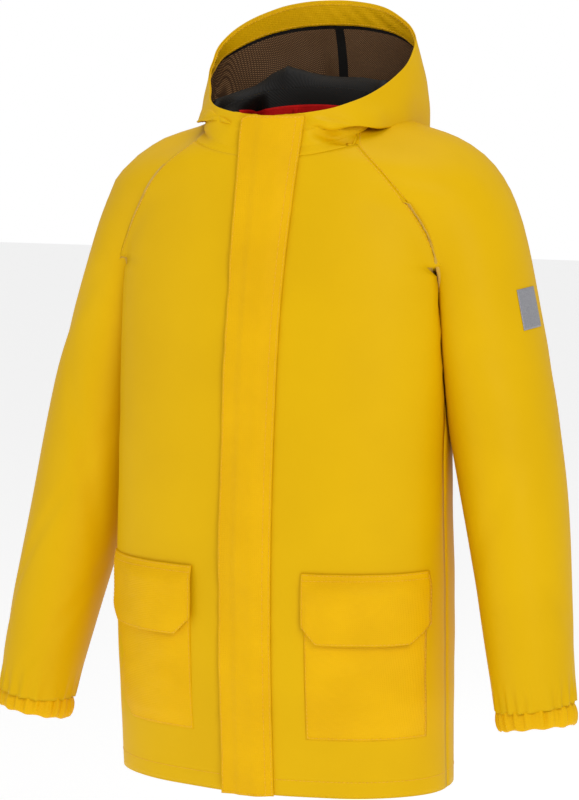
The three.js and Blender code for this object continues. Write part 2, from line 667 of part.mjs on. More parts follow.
function pocketFlapRows() {
  const from = POCKET_X - POCKET_FLAP_OVERLAP;
  const to = POCKET_X + POCKET_WIDTH + POCKET_FLAP_OVERLAP / 2;
  return POCKET_FLAP_ROWS.map((v) => {
    const z = POCKET_FLAP_TOP_Z - POCKET_FLAP_DEPTH * (1 - v);
    const cut = v === 0 ? POCKET_FLAP_CORNER : 0;
    return shares(POCKET_STEPS).map((u) => {
      const x = mix(from + cut, to - cut, u);
      const bag = clamp((x - POCKET_X) / POCKET_WIDTH, 0, 1);
      const over = v === 1 ? 0 : bagStand(bag, 1) - CLOTH - LAYER_GAP;
      return pocketPoint(x, z, 2 * CLOTH + 2 * LAYER_GAP + POCKET_FLAP_EASE + over);
    });
  });
}

const flapPocketRows = pocketFlapRows();
const middleX = POCKET_X + POCKET_WIDTH / 2;
const snapZ = POCKET_FLAP_TOP_Z - POCKET_SNAP_DROP;
const bagTopStand = bagStand(0.5, (snapZ - POCKET_TOP_Z + POCKET_HEIGHT) / POCKET_HEIGHT);
for (const [side, sign] of SIDES) {
  add(`pocket_bag_${side}`, sheet(onSide(sign, bagRows), CLOTH * 0.8), COLOUR.trim);
  add(`pocket_flap_${side}`, sheet(onSide(sign, flapPocketRows), CLOTH), COLOUR.trim);
  const seat = pocketPoint(middleX, snapZ, bagTopStand + 0.5);
  const stud = sign > 0 ? seat : mirror(seat);
  add(`pocket_stud_${side}`, disc(stud, [[0, 0], [SNAP_RADIUS, 0], [SNAP_RADIUS, STUD_PLATE], [0, STUD_PLATE]]),
    COLOUR.metal, 0.35, 0.8);
  const under = CLOTH + 2 * LAYER_GAP + POCKET_FLAP_EASE + bagStand(0.5, 1) - CLOTH - LAYER_GAP;
  const cap = pocketPoint(middleX, snapZ, under - LAYER_GAP);
  add(`pocket_socket_${side}`, disc(sign > 0 ? cap : mirror(cap), socketProfile(POCKET_SOCKET_DEPTH)), COLOUR.metal, 0.35, 0.8);
}

// ---- Hood --------------------------------------------------------------------------------------------------
const HOOD_COLUMNS = 14;
const HOOD_ROWS = 12;
const NECK_CURVE = [[0, 97, 3.5], [60, 88, 0], [93, 62, -5], [101, 22, -8], [99, -20, -14], [72, -65, -24],
  [40, -76.5, -30.5], [EDGE_X, -80, NECK_FRONT_Z + 1.5]];
const FOLD_CURVE = [[0, 186, -18], [86, 170, -18], [128, 126, -9], [135, 70, 4], [133, 14, 4],
  [116, -40, -4], [74, -70, -8], [EDGE_X, -76, -8]];
const RIM_CURVE = [[0, 152, 142], [66, 138, 130], [114, 102, 98], [120, 58, 68], [107, 10, 42],
  [80, -43, 24], [44, -65, 16], [EDGE_X, -68.5, THROAT_Z]];

function railPoint(rail, s) {
  const mirrored = [...rail.slice(1).reverse().map(([x, y, z]) => [-x, y, z]), ...rail];
  const curve = new THREE.CatmullRomCurve3(mirrored.map((p) => new THREE.Vector3(...p)), false, 'centripetal');
  return curve.getPoint(0.5 + s / 2);
}

const BAG_FADE = [0.56, 0.84];   // share of the way to the front where the slouched bag fades to a plain collar

// Shape of the slouch: ways are shares of the distance out from the neck to the fold or on to the rim.
const STAND_SHARE = 0.72;        // height at which the stand starts to turn over
const TOP_WAY = 0.16;
const DOWN_WAY = 0.52;
const DOWN_DROP = 0.42;
const IN_FOLD_WAY = 0.82;
const IN_FOLD_RISE = 5;
const OUT_FOLD_RISE = 12;
const WALL_WAY = 0.52;
const WALL_FULLNESS = 0.45;      // 0 is a straight wall, 1 stands upright over the fold

// Way up the hood: 0 is the neck seam, 1 the rim, and the cloth stands up, folds over and hangs between them.
function hoodCurve(s) {
  const neck = railPoint(NECK_CURVE, s);
  const fold = railPoint(FOLD_CURVE, s);
  const rim = railPoint(RIM_CURVE, s);
  const bag = 1 - smoothstep(BAG_FADE[0], BAG_FADE[1], s);
  const topZ = neck.z + STAND_HEIGHT;
  const stand = neck.clone().add(new THREE.Vector3(0, 0, STAND_HEIGHT * STAND_SHARE));
  const top = neck.clone().lerp(fold, TOP_WAY).setZ(topZ);
  const down = neck.clone().lerp(fold, DOWN_WAY).setZ(mix(topZ, fold.z, DOWN_DROP));
  const inFold = neck.clone().lerp(fold, IN_FOLD_WAY).setZ(fold.z + IN_FOLD_RISE);
  const outFold = fold.clone().add(new THREE.Vector3(0, 0, OUT_FOLD_RISE));
  const upright = fold.clone().setZ(mix(fold.z, rim.z, 0.5));
  const wall = fold.clone().lerp(rim, WALL_WAY).lerp(upright, WALL_FULLNESS);
  const bagPoints = [neck, stand, top, down, inFold, outFold, wall, rim];
  const plain = bagPoints.map((_, i) => neck.clone().lerp(rim, i / (bagPoints.length - 1)));
  const points = bagPoints.map((p, i) => plain[i].lerp(p, bag));
  return new THREE.CatmullRomCurve3(points, false, 'centripetal');
}

function hoodPlace(s, v) {
  const p = hoodCurve(s).getPoint(v);
  const h = 0.01;
  const alongRim = hoodCurve(Math.min(s + h, 1)).getPoint(v).sub(hoodCurve(Math.max(s - h, 0)).getPoint(v));
  const curve = hoodCurve(s);
  const up = curve.getPoint(Math.min(v + h, 1)).sub(curve.getPoint(Math.max(v - h, 0)));
  const n = up.cross(alongRim).normalize();
  return { p, n };
}

const hoodRows = (s0, s1, v0, v1, columns, rows, off) => shares(rows).map((r) => shares(columns).map((c) => lift(
  hoodPlace(mix(s0, s1, c), mix(v0, v1, r)), off)));

const STAND_V = 0.13;            // the band up to here stays on the neck, the rest lifts with the hood
const MOVE_V = 0.21;             // the lifting part starts here, so that it clears the stand as it turns
const BRIM_V = 0.92;
const HOOD_FRONT_S = 0.76;       // the collar in front of this stays on the neck
const HOOD_CENTRE_S = 0.004;
const LINING_COLUMNS = 10;       // the lining stops where the bag fades into the collar
const BRIM_GAP_V = 0.05;
const NECK_GAP_V = 0.02;         // keeps the stand clear of the panels at the neck seam
const COLLAR_GAP_S = 0.012;

const standHalf = hoodRows(0, 1, NECK_GAP_V, STAND_V, HOOD_COLUMNS, 2, 0);
add('neck_stand', sheet(standHalf.map((row) => [...row.slice(1).reverse().map(mirror), ...row]), CLOTH),
  COLOUR.black);
for (const [side, sign] of SIDES) {
  add(`collar_front_${side}`, sheet(onSide(sign, hoodRows(HOOD_FRONT_S + COLLAR_GAP_S, 1, MOVE_V, 1, 4, 4, 0)), CLOTH),
    COLOUR.shell);
  const shell = hoodRows(HOOD_CENTRE_S, HOOD_FRONT_S, MOVE_V, BRIM_V, HOOD_COLUMNS, HOOD_ROWS, 0);
  add(`hood_${side}`, sheet(onSide(sign, shell), CLOTH), COLOUR.shell);
  const inside = shell.slice(1, -2).map((row) => row.slice(0, LINING_COLUMNS)
    .map((point) => lift(point, -CLOTH - LAYER_GAP)));
  add(`hood_lining_${side}`, sheet(onSide(sign, inside), LINING), COLOUR.lining);
  const brim = hoodRows(HOOD_CENTRE_S, HOOD_FRONT_S, BRIM_V + BRIM_GAP_V, 1, HOOD_COLUMNS, 1, 0);
  add(`hood_brim_${side}`, sheet(onSide(sign, brim), 1.5 * CLOTH), COLOUR.trim);
}

// ---- Neck tape, label and hanger loop ----------------------------------------------------------------------
const TAPE_COLUMNS = 4;
const NECK_TAPE_S = TAPE_COLUMNS / HOOD_COLUMNS;
const NECK_TAPE_V = [0.03, 0.075];
const tapeHalf = hoodRows(0, NECK_TAPE_S, ...NECK_TAPE_V, TAPE_COLUMNS, 1, -CLOTH - 2 * LAYER_GAP);
add('neck_tape', sheet(tapeHalf.map((row) => [...row.slice(1).reverse().map(mirror), ...row]), 1), COLOUR.red);

const NECK_LABEL_WIDTH = 64;
const NECK_LABEL_Z = [-52, -6];
const LABEL_CLEARANCE = 3;
const labelHalf = shares(2).map((v) => shares(3).map((u) => lift(
  facePoint(u * NECK_LABEL_WIDTH / 2, mix(...NECK_LABEL_Z, v), true), -CLOTH - LABEL_CLEARANCE)));
add('neck_label', sheet(labelHalf.map((row) => [...row.slice(1).reverse().map(mirror), ...row]), 0.8),
  COLOUR.black);

// A flat strap in the shape of a U that hangs from the neck tape; its bar's upper edge is what a hook takes.
const LOOP_WIDTH = 60;
const LOOP_HEIGHT = 19;
const LOOP_STRAP = 6;
const LOOP_THICKNESS = 2;
const LOOP_TOP_Z = 15;
const LOOP_FRONT_Y = 86.5;
const loopShape = new THREE.Shape([[-LOOP_WIDTH / 2, 0], [-LOOP_WIDTH / 2, -LOOP_HEIGHT],
  [LOOP_WIDTH / 2, -LOOP_HEIGHT], [LOOP_WIDTH / 2, 0], [LOOP_WIDTH / 2 - LOOP_STRAP, 0],
  [LOOP_WIDTH / 2 - LOOP_STRAP, LOOP_STRAP - LOOP_HEIGHT], [LOOP_STRAP - LOOP_WIDTH / 2, LOOP_STRAP - LOOP_HEIGHT],
  [LOOP_STRAP - LOOP_WIDTH / 2, 0]].map(([x, z]) => new THREE.Vector2(x, z)));
const loopGeometry = new THREE.ExtrudeGeometry(loopShape, { depth: LOOP_THICKNESS, bevelEnabled: false });
loopGeometry.rotateX(Math.PI / 2);
loopGeometry.translate(0, LOOP_FRONT_Y + LOOP_THICKNESS, LOOP_TOP_Z);
add('hanger_loop', loopGeometry, COLOUR.red);

export default jacket;
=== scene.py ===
# The looks of a hooded foul weather jacket: coated stretch cloth on the body, sleeves and hood, a slightly
# warmer woven cloth on the storm flap, pockets, cuffs and hood brim. Lengths are in millimetres until a mesh
# is made. +Z is up, +X is the wearer's left and the front faces -Y.
import math

import bpy
import numpy as np
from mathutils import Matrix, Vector


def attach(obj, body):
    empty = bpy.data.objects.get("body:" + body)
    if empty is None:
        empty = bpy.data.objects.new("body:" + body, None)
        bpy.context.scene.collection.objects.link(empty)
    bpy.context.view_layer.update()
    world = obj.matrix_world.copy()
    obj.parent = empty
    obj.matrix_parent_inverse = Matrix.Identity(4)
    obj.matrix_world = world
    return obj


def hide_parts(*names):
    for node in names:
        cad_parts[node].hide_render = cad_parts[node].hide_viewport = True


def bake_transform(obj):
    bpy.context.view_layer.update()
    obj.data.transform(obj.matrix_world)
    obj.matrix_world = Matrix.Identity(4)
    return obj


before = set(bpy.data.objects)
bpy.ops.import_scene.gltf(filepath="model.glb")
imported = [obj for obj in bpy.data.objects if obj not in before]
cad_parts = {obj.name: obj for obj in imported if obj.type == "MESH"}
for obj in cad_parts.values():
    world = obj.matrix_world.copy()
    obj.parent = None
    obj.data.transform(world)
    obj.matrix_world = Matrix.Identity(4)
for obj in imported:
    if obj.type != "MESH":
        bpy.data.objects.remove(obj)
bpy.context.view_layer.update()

MM = 0.001
RNG = np.random.default_rng(7)

# ---- Sizes of the cut, as in the solid model ----------------------------------------------------------------
HEM_Z = -783
HEM_DEPTH = 21
ARMPIT_Z = -160
UNDERARM_DROP = 12
NECK_FRONT_Z = -34
NECK_BACK_Z = 2
THROAT_Z = 13
RAGLAN_FRONT = [(103, -19), (144, -55), (180, -104), (208, -160)]      # X and Z, neck to armpit
RAGLAN_BACK = [(96, -11), (134, -50), (166, -100), (196, -160)]
FRONT_RADIUS = 2100
FRONT_ARC_Z = -530
FRONT_ARC_Y = -140
TORSO_POWER = 2.35
TORSO_HALF_WIDTH = [(-790, 206), (-570, 207), (-380, 205), (-190, 208), (-80, 190), (-40, 148),
                    (-15, 106), (10, 80), (70, 60)]
TORSO_BACK = [(-790, 128), (-570, 124), (-380, 118), (-190, 135), (-90, 142), (-40, 128), (0, 98), (70, 70)]
ARM_LINE = [(112, 58, -52), (192, 52, -98), (238, 36, -250), (280, 10, -440), (320, -26, -684)]
ARM_ACROSS = [(0, 60), (0.15, 65), (0.35, 65), (0.6, 63), (0.85, 54), (1, 47)]
ARM_DEEP = [(0, 84), (0.15, 86), (0.35, 80), (0.65, 68), (0.9, 57), (1, 50)]
SHOULDER_BLEND = [(-230, 6), (-180, 8), (-100, 30), (-45, 62), (-20, 44), (10, 12)]
MIDDLE_SHARE = 0.55         # way from back to front of the widest place of a section
SLEEVE_EASE = 0.8           # a hanging sleeve all but touches the body
SHOULDER_AXIS = (190, -96)  # X and Z of the axis that a sleeve swings about
SWING_RADIUS = 104
EDGE_X = 9                  # front panels stop this far from the centre

# Thicknesses, drawn as they look with their turnings
CLOTH = 1.1
TRIM = 1.3
HEM_THICKNESS = 0.8
FLAP_THICKNESS = 2.2
BAG_THICKNESS = 1.2
POCKET_FLAP_THICKNESS = 2.0
FACING_THICKNESS = 1.2
TAPE_THICKNESS = 1.0
ZIP_TAPE_THICKNESS = 0.8
LABEL_THICKNESS = 0.7
PATCH_THICKNESS = 0.8
STRAP_THICKNESS = 1.8

# Distances of the stitching from the edges it runs along
SEAM_INSET = 3.5
RAGLAN_INSET = 4.0
TRIM_INSET = 2.2
FOLD_INSET = 2.4
HEM_INSET = 20
TWIN_INSETS = (2.0, 9.5)    # the two rows along the sewn edge of the storm flap
TOP_INSETS = (2.0, 8.5)     # the two rows along the top of a pocket flap


# ---- Small tools --------------------------------------------------------------------------------------------
def smooth(low, high, value):
    t = np.clip((value - low) / (high - low), 0, 1)
    return t * t * (3 - 2 * t)


def mix(a, b, t):
    return a + (b - a) * t


def along(pairs, at):
    """Smooth curve through (at, value) pairs that never overshoots them."""
    x, y = np.array(pairs, float).T
    slope = np.diff(y) / np.diff(x)
    product = slope[:-1] * slope[1:]
    total = np.where(product > 0, slope[:-1] + slope[1:], 1)
    bend = np.concatenate([slope[:1], np.where(product > 0, 2 * product / total, 0), slope[-1:]])
    at = np.clip(np.asarray(at, float), x[0], x[-1])
    i = np.clip(np.searchsorted(x, at) - 1, 0, len(slope) - 1)
    span = x[i + 1] - x[i]
    t = (at - x[i]) / span
    rise = span * (bend[i] * t * (1 - t) ** 2 - bend[i + 1] * t * t * (1 - t))
    return mix(y[i], y[i + 1], t * t * (3 - 2 * t)) + rise


def unit(v):
    return v / np.maximum(np.linalg.norm(v, axis=-1, keepdims=True), 1e-9)


def catmull(points, t):
    """Catmull-Rom curve through points; t runs from 0 to 1 over equal shares of its spans."""
    p = np.array(points, float)
    p = np.vstack([2 * p[0] - p[1], p, 2 * p[-1] - p[-2]])
    s = np.clip(np.asarray(t, float), 0, 1) * (len(p) - 3)
    i = np.minimum(s.astype(int), len(p) - 4)
    u = (s - i)[..., None]
    a, b, c, d = p[i], p[i + 1], p[i + 2], p[i + 3]
    return 0.5 * (2 * b + (c - a) * u + (2 * a - 5 * b + 4 * c - d) * u**2 + (3 * b - a - 3 * c + d) * u**3)


def spaced(curve, t):
    """The same curve, with t in shares of its length."""
    fine = np.linspace(0, 1, 400)
    points = curve(fine)
    run = np.concatenate([[0], np.cumsum(np.linalg.norm(np.diff(points, axis=0), axis=1))])
    return curve(np.interp(np.asarray(t, float) * run[-1], run, fine))


class Waves:
    """Soft seeded undulation: a sum of plane waves of about one wavelength."""

    def __init__(self, wavelength, count=9, stretch=(1, 1, 1)):
        direction = unit(RNG.normal(size=(count, 3)))
        size = wavelength * RNG.uniform(0.75, 1.4, size=(count, 1))
        self.k = 2 * np.pi * direction / size / np.array(stretch)
        self.phase = RNG.uniform(0, 2 * np.pi, count)

    def __call__(self, p):
        return np.sin(p @ self.k.T + self.phase).sum(-1) / math.sqrt(len(self.phase))


# ---- The skin -----------------------------------------------------------------------------------------------
def front_y(z):
    return FRONT_ARC_Y + FRONT_RADIUS - np.sqrt(FRONT_RADIUS**2 - (z - FRONT_ARC_Z) ** 2)


def middle_y(z):
    return mix(along(TORSO_BACK, z), front_y(z), MIDDLE_SHARE)


def torso_field(p):
    x, y, z = np.abs(p[..., 0]), p[..., 1], p[..., 2]
    wide, middle = along(TORSO_HALF_WIDTH, z), middle_y(z)
    deep = np.where(y < middle, middle - front_y(z), along(TORSO_BACK, z) - middle)
    total = (x / wide) ** TORSO_POWER + (np.abs(y - middle) / deep) ** TORSO_POWER
    return (total ** (1 / TORSO_POWER) - 1) * np.minimum(wide, deep)


ARM_STEPS = 36
arm_points = spaced(lambda t: catmull(ARM_LINE, t), np.linspace(0, 1, ARM_STEPS + 1))


def arm_field(p):
    q = np.array(p, float)
    q[..., 0] = np.abs(q[..., 0])
    a, d = arm_points[:-1], np.diff(arm_points, axis=0)
    rel = q[..., None, :] - a
    t = np.clip((rel * d).sum(-1) / (d * d).sum(-1), 0, 1)
    away = rel - t[..., None] * d
    best = np.argmin((away**2).sum(-1), axis=-1)
    take = np.take_along_axis
    away = take(away, best[..., None, None], axis=-2)[..., 0, :]
    share = (best + take(t, best[..., None], axis=-1)[..., 0]) / ARM_STEPS
    across, deep = along(ARM_ACROSS, share), along(ARM_DEEP, share)
    flat = np.hypot(away[..., 0], away[..., 2]) / across
    return (np.hypot(flat, away[..., 1] / deep) - 1) * np.minimum(across, deep)


def whole_field(p):
    torso, arm = torso_field(p), arm_field(p)
    radius = along(SHOULDER_BLEND, p[..., 2])
    h = np.clip(0.5 + 0.5 * (arm - torso) / radius, 0, 1)
    return arm * (1 - h) + torso * h - radius * h * (1 - h)


def body_field(p):
    torso = torso_field(p)
    return np.maximum(torso, (torso - arm_field(p) + SLEEVE_EASE) / 2)


def sleeve_field(p):
    arm = arm_field(p)
    return np.maximum(arm, (arm - torso_field(p) + SLEEVE_EASE) / 2)


def shoot(field, start, direction, reach, steps=30):
    """First points outside the field along rays that start inside it."""
    inside = np.zeros(start.shape[:-1])
    outside = np.full(start.shape[:-1], float(reach))
    found = np.zeros(start.shape[:-1], bool)
    for d in np.linspace(0, reach, steps + 1)[1:]:
        out = field(start + direction * d) > 0
        outside = np.where(out & ~found, d, outside)
        found |= out
        inside = np.where(found, inside, d)
    for _ in range(16):
        half = (inside + outside) / 2
        out = field(start + direction * half[..., None]) > 0
        outside = np.where(out, half, outside)
        inside = np.where(out, inside, half)
    return start + direction * ((inside + outside) / 2)[..., None]


def normals(field, p, h=2.0):
    parts = []
    for axis in np.eye(3):
        parts.append(field(p + axis * h) - field(p - axis * h))
    return unit(np.stack(parts, -1))


REACH = 400                 # longest ray from the middle of the body
ARM_REACH = 130
FACE_START = 15             # rays to the front and back start this far from the middle


def by_angle(angle, z):
    """Skin of the body at an angle round its middle; 0 is the front, a quarter turn the wearer's left."""
    start = np.stack([0 * z, middle_y(z), z], -1)
    direction = np.stack([np.sin(angle), -np.cos(angle), 0 * angle], -1)
    p = shoot(body_field, start, direction, REACH)
    return p, normals(body_field, p)


def by_face(x, z, back=False):
    """Skin in front of, or behind, places in the X-Z plane."""
    sign = 1 if back else -1
    start = np.stack([x, middle_y(z) + FACE_START * sign, z], -1)
    direction = np.broadcast_to([0.0, sign, 0.0], start.shape)
    p = shoot(whole_field, start, direction, REACH)
    return p, normals(whole_field, p)


def arm_frame(t):
    steps = np.linspace(0, 1, ARM_STEPS + 1)
    middle = np.stack([np.interp(t, steps, arm_points[:, k]) for k in range(3)], -1)
    tangents = unit(np.gradient(arm_points, axis=0))
    axis = unit(np.stack([np.interp(t, steps, tangents[:, k]) for k in range(3)], -1))
    outward = unit(-np.cross([0.0, 1.0, 0.0], axis))
    return middle, axis, outward


def by_arm(t, angle):
    """Skin of the wearer's left sleeve; angle 0 is the underarm and a quarter turn its front."""
    middle, _, outward = arm_frame(t)
    direction = -outward * np.cos(angle)[..., None]
    direction[..., 1] -= np.sin(angle)
    direction = unit(direction)
    p = shoot(sleeve_field, middle, direction, ARM_REACH, steps=20)
    return p, normals(sleeve_field, p)


# ---- Meshes and stitches ------------------------------------------------------------------------------------
def new_mesh(name, points, faces, materials):
    mesh = bpy.data.meshes.new(name)
    mesh.from_pydata((np.asarray(points) * MM).tolist(), [], [list(f) for f in faces])
    mesh.polygons.foreach_set("use_smooth", [True] * len(mesh.polygons))
    for material in materials:
        mesh.materials.append(material)
    mesh.update()
    piece = bpy.data.objects.new(name, mesh)
    bpy.context.scene.collection.objects.link(piece)
    return piece


def grid_faces(rows, columns, around=False):
    r, c = np.meshgrid(np.arange(rows - 1), np.arange(columns if around else columns - 1), indexing="ij")
    r, c = r.ravel(), c.ravel()
    after = (c + 1) % columns
    return np.stack([r * columns + c, r * columns + after, (r + 1) * columns + after, (r + 1) * columns + c], -1)


def cloth(name, p, n, outside, inside, thickness, around=False):
    """A sheet of cloth from a grid of points and outward normals: one face outside, its backing inside."""
    faces = grid_faces(p.shape[0], p.shape[1], around)
    flat, up = p.reshape(-1, 3), n.reshape(-1, 3)
    a, b, d = flat[faces[:, 0]], flat[faces[:, 1]], flat[faces[:, 3]]
    if (np.cross(b - a, d - a) * up[faces[:, 0]]).sum() < 0:
        faces = faces[:, ::-1]
    piece = new_mesh(name, flat, faces, [outside, inside])
    solidify = piece.modifiers.new("thickness", "SOLIDIFY")
    solidify.thickness = thickness * MM
    solidify.offset = -1
    solidify.material_offset = 1
    solidify.use_quality_normals = True
    return piece


def edge_run(p, side):
    """Distance of every grid point from one edge of the grid, along the cloth."""
    axis = 1 if side in ("first", "last") else 0
    step = np.linalg.norm(np.diff(p, axis=axis), axis=-1)
    zero = np.zeros_like(np.take(step, [0], axis=axis))
    run = np.cumsum(np.concatenate([zero, step], axis=axis), axis=axis)
    if side in ("last", "top"):
        run = np.take(run, [-1], axis=axis) - run
    return run


def seam_roll(p, n, sides, depth=0.8, width=3.5):
    """Pull the cloth down into the seams along some of its edges."""
    for side in sides:
        p = p - n * (depth * np.exp(-((edge_run(p, side) / width) ** 2)))[..., None]
    return p


TUCK_NEAR = (0.3, 0.6)      # shares of its reach and depth at which a seam allowance bends over
UNDERARM_SHARES = (0.12, 0.2)   # shares of the way round at which the allowance fades out under the arm
LEAST_REACH = 0.2


def tuck_under(p, n, reach, depth, around=False):
    """Adds rows before the first one that run on under the neighbouring panel as a seam allowance."""
    if around:
        places = np.arange(p.shape[1]) / p.shape[1]
        reach = (LEAST_REACH + reach * smooth(*UNDERARM_SHARES, np.minimum(places, 1 - places)))[:, None]
        edge = np.vstack([p[0, -1:], p[0], p[0, :1]])
    else:
        edge = np.vstack([p[0, :1], p[0], p[0, -1:]])
    back = unit(np.cross(n[0], edge[2:] - edge[:-2]))
    back = back if (back * (p[0] - p[6])).sum() > 0 else -back
    far_row = p[0] + back * reach - n[0] * depth
    near_row = p[0] + back * reach * TUCK_NEAR[0] - n[0] * depth * TUCK_NEAR[1]
    return np.vstack([far_row[None], near_row[None], p])


def line_in(p, n, side, distance):
    """The line at one distance from an edge of the grid, with its normals."""
    run = edge_run(p, side)
    if side in ("bottom", "top"):
        p, n, run = p.swapaxes(0, 1), n.swapaxes(0, 1), run.swapaxes(0, 1)
    if side in ("last", "top"):
        p, n, run = p[:, ::-1], n[:, ::-1], run[:, ::-1]
    points, ups = [], []
    for row, up, distances in zip(p, n, run):
        points.append([np.interp(distance, distances, row[:, k]) for k in range(3)])
        ups.append([np.interp(distance, distances, up[:, k]) for k in range(3)])
    return np.array(points), unit(np.array(ups))


STITCH_LENGTH = 3.4
STITCH_GAP = 1.3
THREAD_RADIUS = 0.42
THREAD_LIFT = 0.1
BARREL = ((-1.0, 0.35), (-0.6, 0.95), (0.6, 0.95), (1.0, 0.35))     # half lengths and radii along a stitch
BARREL_SIDES = 6


def stitches(name, lines, material):
    """Lockstitching along lines of points with normals, each stitch a small barrel half sunk in the cloth."""
    sides, rings = BARREL_SIDES, BARREL
    all_points, all_faces, count = [], [], 0
    turn = np.linspace(0, 2 * np.pi, sides, endpoint=False)
    for points, ups in lines:
        run = np.concatenate([[0], np.cumsum(np.linalg.norm(np.diff(points, axis=0), axis=1))])
        centres = np.arange(STITCH_LENGTH, run[-1] - STITCH_LENGTH, STITCH_LENGTH + STITCH_GAP)
        place = np.stack([np.interp(centres, run, points[:, k]) for k in range(3)], -1)
        ahead = np.stack([np.interp(centres + 1, run, points[:, k]) for k in range(3)], -1)
        up = unit(np.stack([np.interp(centres, run, ups[:, k]) for k in range(3)], -1))
        forward = unit(ahead - place)
        aside = unit(np.cross(up, forward))
        for share, radius in rings:
            for a in turn:
                reach = THREAD_RADIUS * radius
                rise = reach * math.sin(a) + THREAD_LIFT
                all_points.append(place + forward * share * STITCH_LENGTH / 2 + up * rise
                                  + aside * reach * math.cos(a))
        size = sides * len(rings)
        block = np.stack(all_points[-size:], 1).reshape(-1, 3)
        del all_points[-size:]
        base = count + np.arange(len(centres))[:, None] * size
        for r in range(len(rings) - 1):
            for k in range(sides):
                m = (k + 1) % sides
                all_faces.append(base + [r * sides + k, r * sides + m, (r + 1) * sides + m, (r + 1) * sides + k])
        caps = [base + np.arange(sides)[::-1], base + (len(rings) - 1) * sides + np.arange(sides)]
        all_faces.append(np.concatenate(caps))
        all_points.append(block)
        count += len(block)
    faces = [face for group in all_faces for face in group]
    return new_mesh(name, np.vstack(all_points), faces, [material])


def mirrored(p):
    return p * np.array([-1.0, 1.0, 1.0])


# ---- Materials ----------------------------------------------------------------------------------------------
def rgb(hexcode):
    """sRGB hex to linear colour."""
    channels = [int(hexcode[i:i + 2], 16) / 255 for i in (1, 3, 5)]
    return [c / 12.92 if c <= 0.04045 else ((c + 0.055) / 1.055) ** 2.4 for c in channels] + [1.0]


def add_node(tree, kind, settings=None, links=None, **values):
    """Adds a node: settings are its attributes, values its sockets' constants, links its sockets' sources."""
    node = tree.nodes.new(kind)
    for key, value in (settings or {}).items():
        setattr(node, key, value)
    for key, value in values.items():
        node.inputs[key.replace("_", " ")].default_value = value
    for key, source in (links or {}).items():
        tree.links.new(source, node.inputs[key])
    return node


def surface(name, **values):
    """A material with a principled shader, and the place on the piece that its patterns are set out from."""
    material = bpy.data.materials.new(name)
    material.use_nodes = True
    tree = material.node_tree
    tree.nodes.clear()
    shader = add_node(tree, "ShaderNodeBsdfPrincipled", **values)
    add_node(tree, "ShaderNodeOutputMaterial", links={"Surface": shader.outputs["BSDF"]})
    place = add_node(tree, "ShaderNodeTexCoord")
    return material, tree, shader, place.outputs["Object"]


def two_tone(tree, place, low, high, scale, low_at=0.35, high_at=0.65):
    """Broad colour variation between two close tones."""
    patches = add_node(tree, "ShaderNodeTexNoise", links={"Vector": place}, Scale=scale, Detail=3.0)
    ramp = add_node(tree, "ShaderNodeValToRGB", links={"Fac": patches.outputs["Fac"]})
    ramp.color_ramp.elements[0].color = rgb(low)
    ramp.color_ramp.elements[0].position = low_at
    ramp.color_ramp.elements[1].color = rgb(high)
    ramp.color_ramp.elements[1].position = high_at
    return ramp.outputs["Color"]


def weave(tree, place, thread, turn=0.0, lean=0.0):
    """Height of a plain weave: two sets of threads at right angles, crossing on the slant of the cloth."""
    spin = add_node(tree, "ShaderNodeMapping", links={"Vector": place}, Rotation=(0.0, turn, lean))
    scale = 1 / (thread * MM) / 2
    common = {"wave_type": "BANDS", "wave_profile": "SIN"}
    warp = add_node(tree, "ShaderNodeTexWave", common | {"bands_direction": "X"},
                    {"Vector": spin.outputs["Vector"]}, Scale=scale / math.pi, Distortion=0.4)
    weft = add_node(tree, "ShaderNodeTexWave", common | {"bands_direction": "Z"},
                    {"Vector": spin.outputs["Vector"]}, Scale=scale / math.pi, Distortion=0.4)
    both = add_node(tree, "ShaderNodeMath", {"operation": "ADD"},
                    {0: warp.outputs["Fac"], 1: weft.outputs["Fac"]})
    return both.outputs["Value"]


def bump(tree, shader, height, strength, distance, before=None):
    links = {"Height": height}
    if before is not None:
        links["Normal"] = before
    node = add_node(tree, "ShaderNodeBump", links=links, Strength=strength, Distance=distance)
    tree.links.new(node.outputs["Normal"], shader.inputs["Normal"])
    return node.outputs["Normal"]


def coated_stretch():
    """Polyurethane-coated knit, cast smooth: a soft satin skin with the faint grain of the knit below it."""
    material, tree, shader, place = surface("coated_stretch_cloth", Roughness=0.52, Specular_IOR_Level=0.1)
    tree.links.new(two_tone(tree, place, "#DDAE00", "#E2B300", 7.0), shader.inputs["Base Color"])
    grain = add_node(tree, "ShaderNodeTexNoise", links={"Vector": place}, Scale=900.0, Detail=2.0)
    soft = add_node(tree, "ShaderNodeTexNoise", links={"Vector": place}, Scale=55.0, Detail=3.0)
    first = bump(tree, shader, soft.outputs["Fac"], 0.12, 0.002)
    bump(tree, shader, grain.outputs["Fac"], 0.14, 0.0003, first)
    return material


def coated_weave():
    """Coated plain-weave polyester: the coat follows the threads, so it is a little rougher and warmer.
    The threads are drawn at 1.1 mm, twice their real pitch, so that they show."""
    material, tree, shader, place = surface("coated_woven_cloth", Roughness=0.55, Specular_IOR_Level=0.1)
    tree.links.new(two_tone(tree, place, "#E4AE00", "#EBB500", 14.0), shader.inputs["Base Color"])
    soft = add_node(tree, "ShaderNodeTexNoise", links={"Vector": place}, Scale=80.0, Detail=4.0)
    first = bump(tree, shader, soft.outputs["Fac"], 0.25, 0.002)
    bump(tree, shader, weave(tree, place, 1.1, 0.05), 0.35, 0.0004, first)
    return material


def knit_backing():
    """The uncoated back of the shell cloth: a pale yellow knit, matt, with ribs drawn wide enough to show."""
    material, tree, shader, place = surface("knit_backing", Roughness=0.9, Sheen_Weight=0.2)
    tree.links.new(two_tone(tree, place, "#C79C2C", "#D0A638", 20.0), shader.inputs["Base Color"])
    bump(tree, shader, weave(tree, place, 1.4), 0.3, 0.0004)
    return material


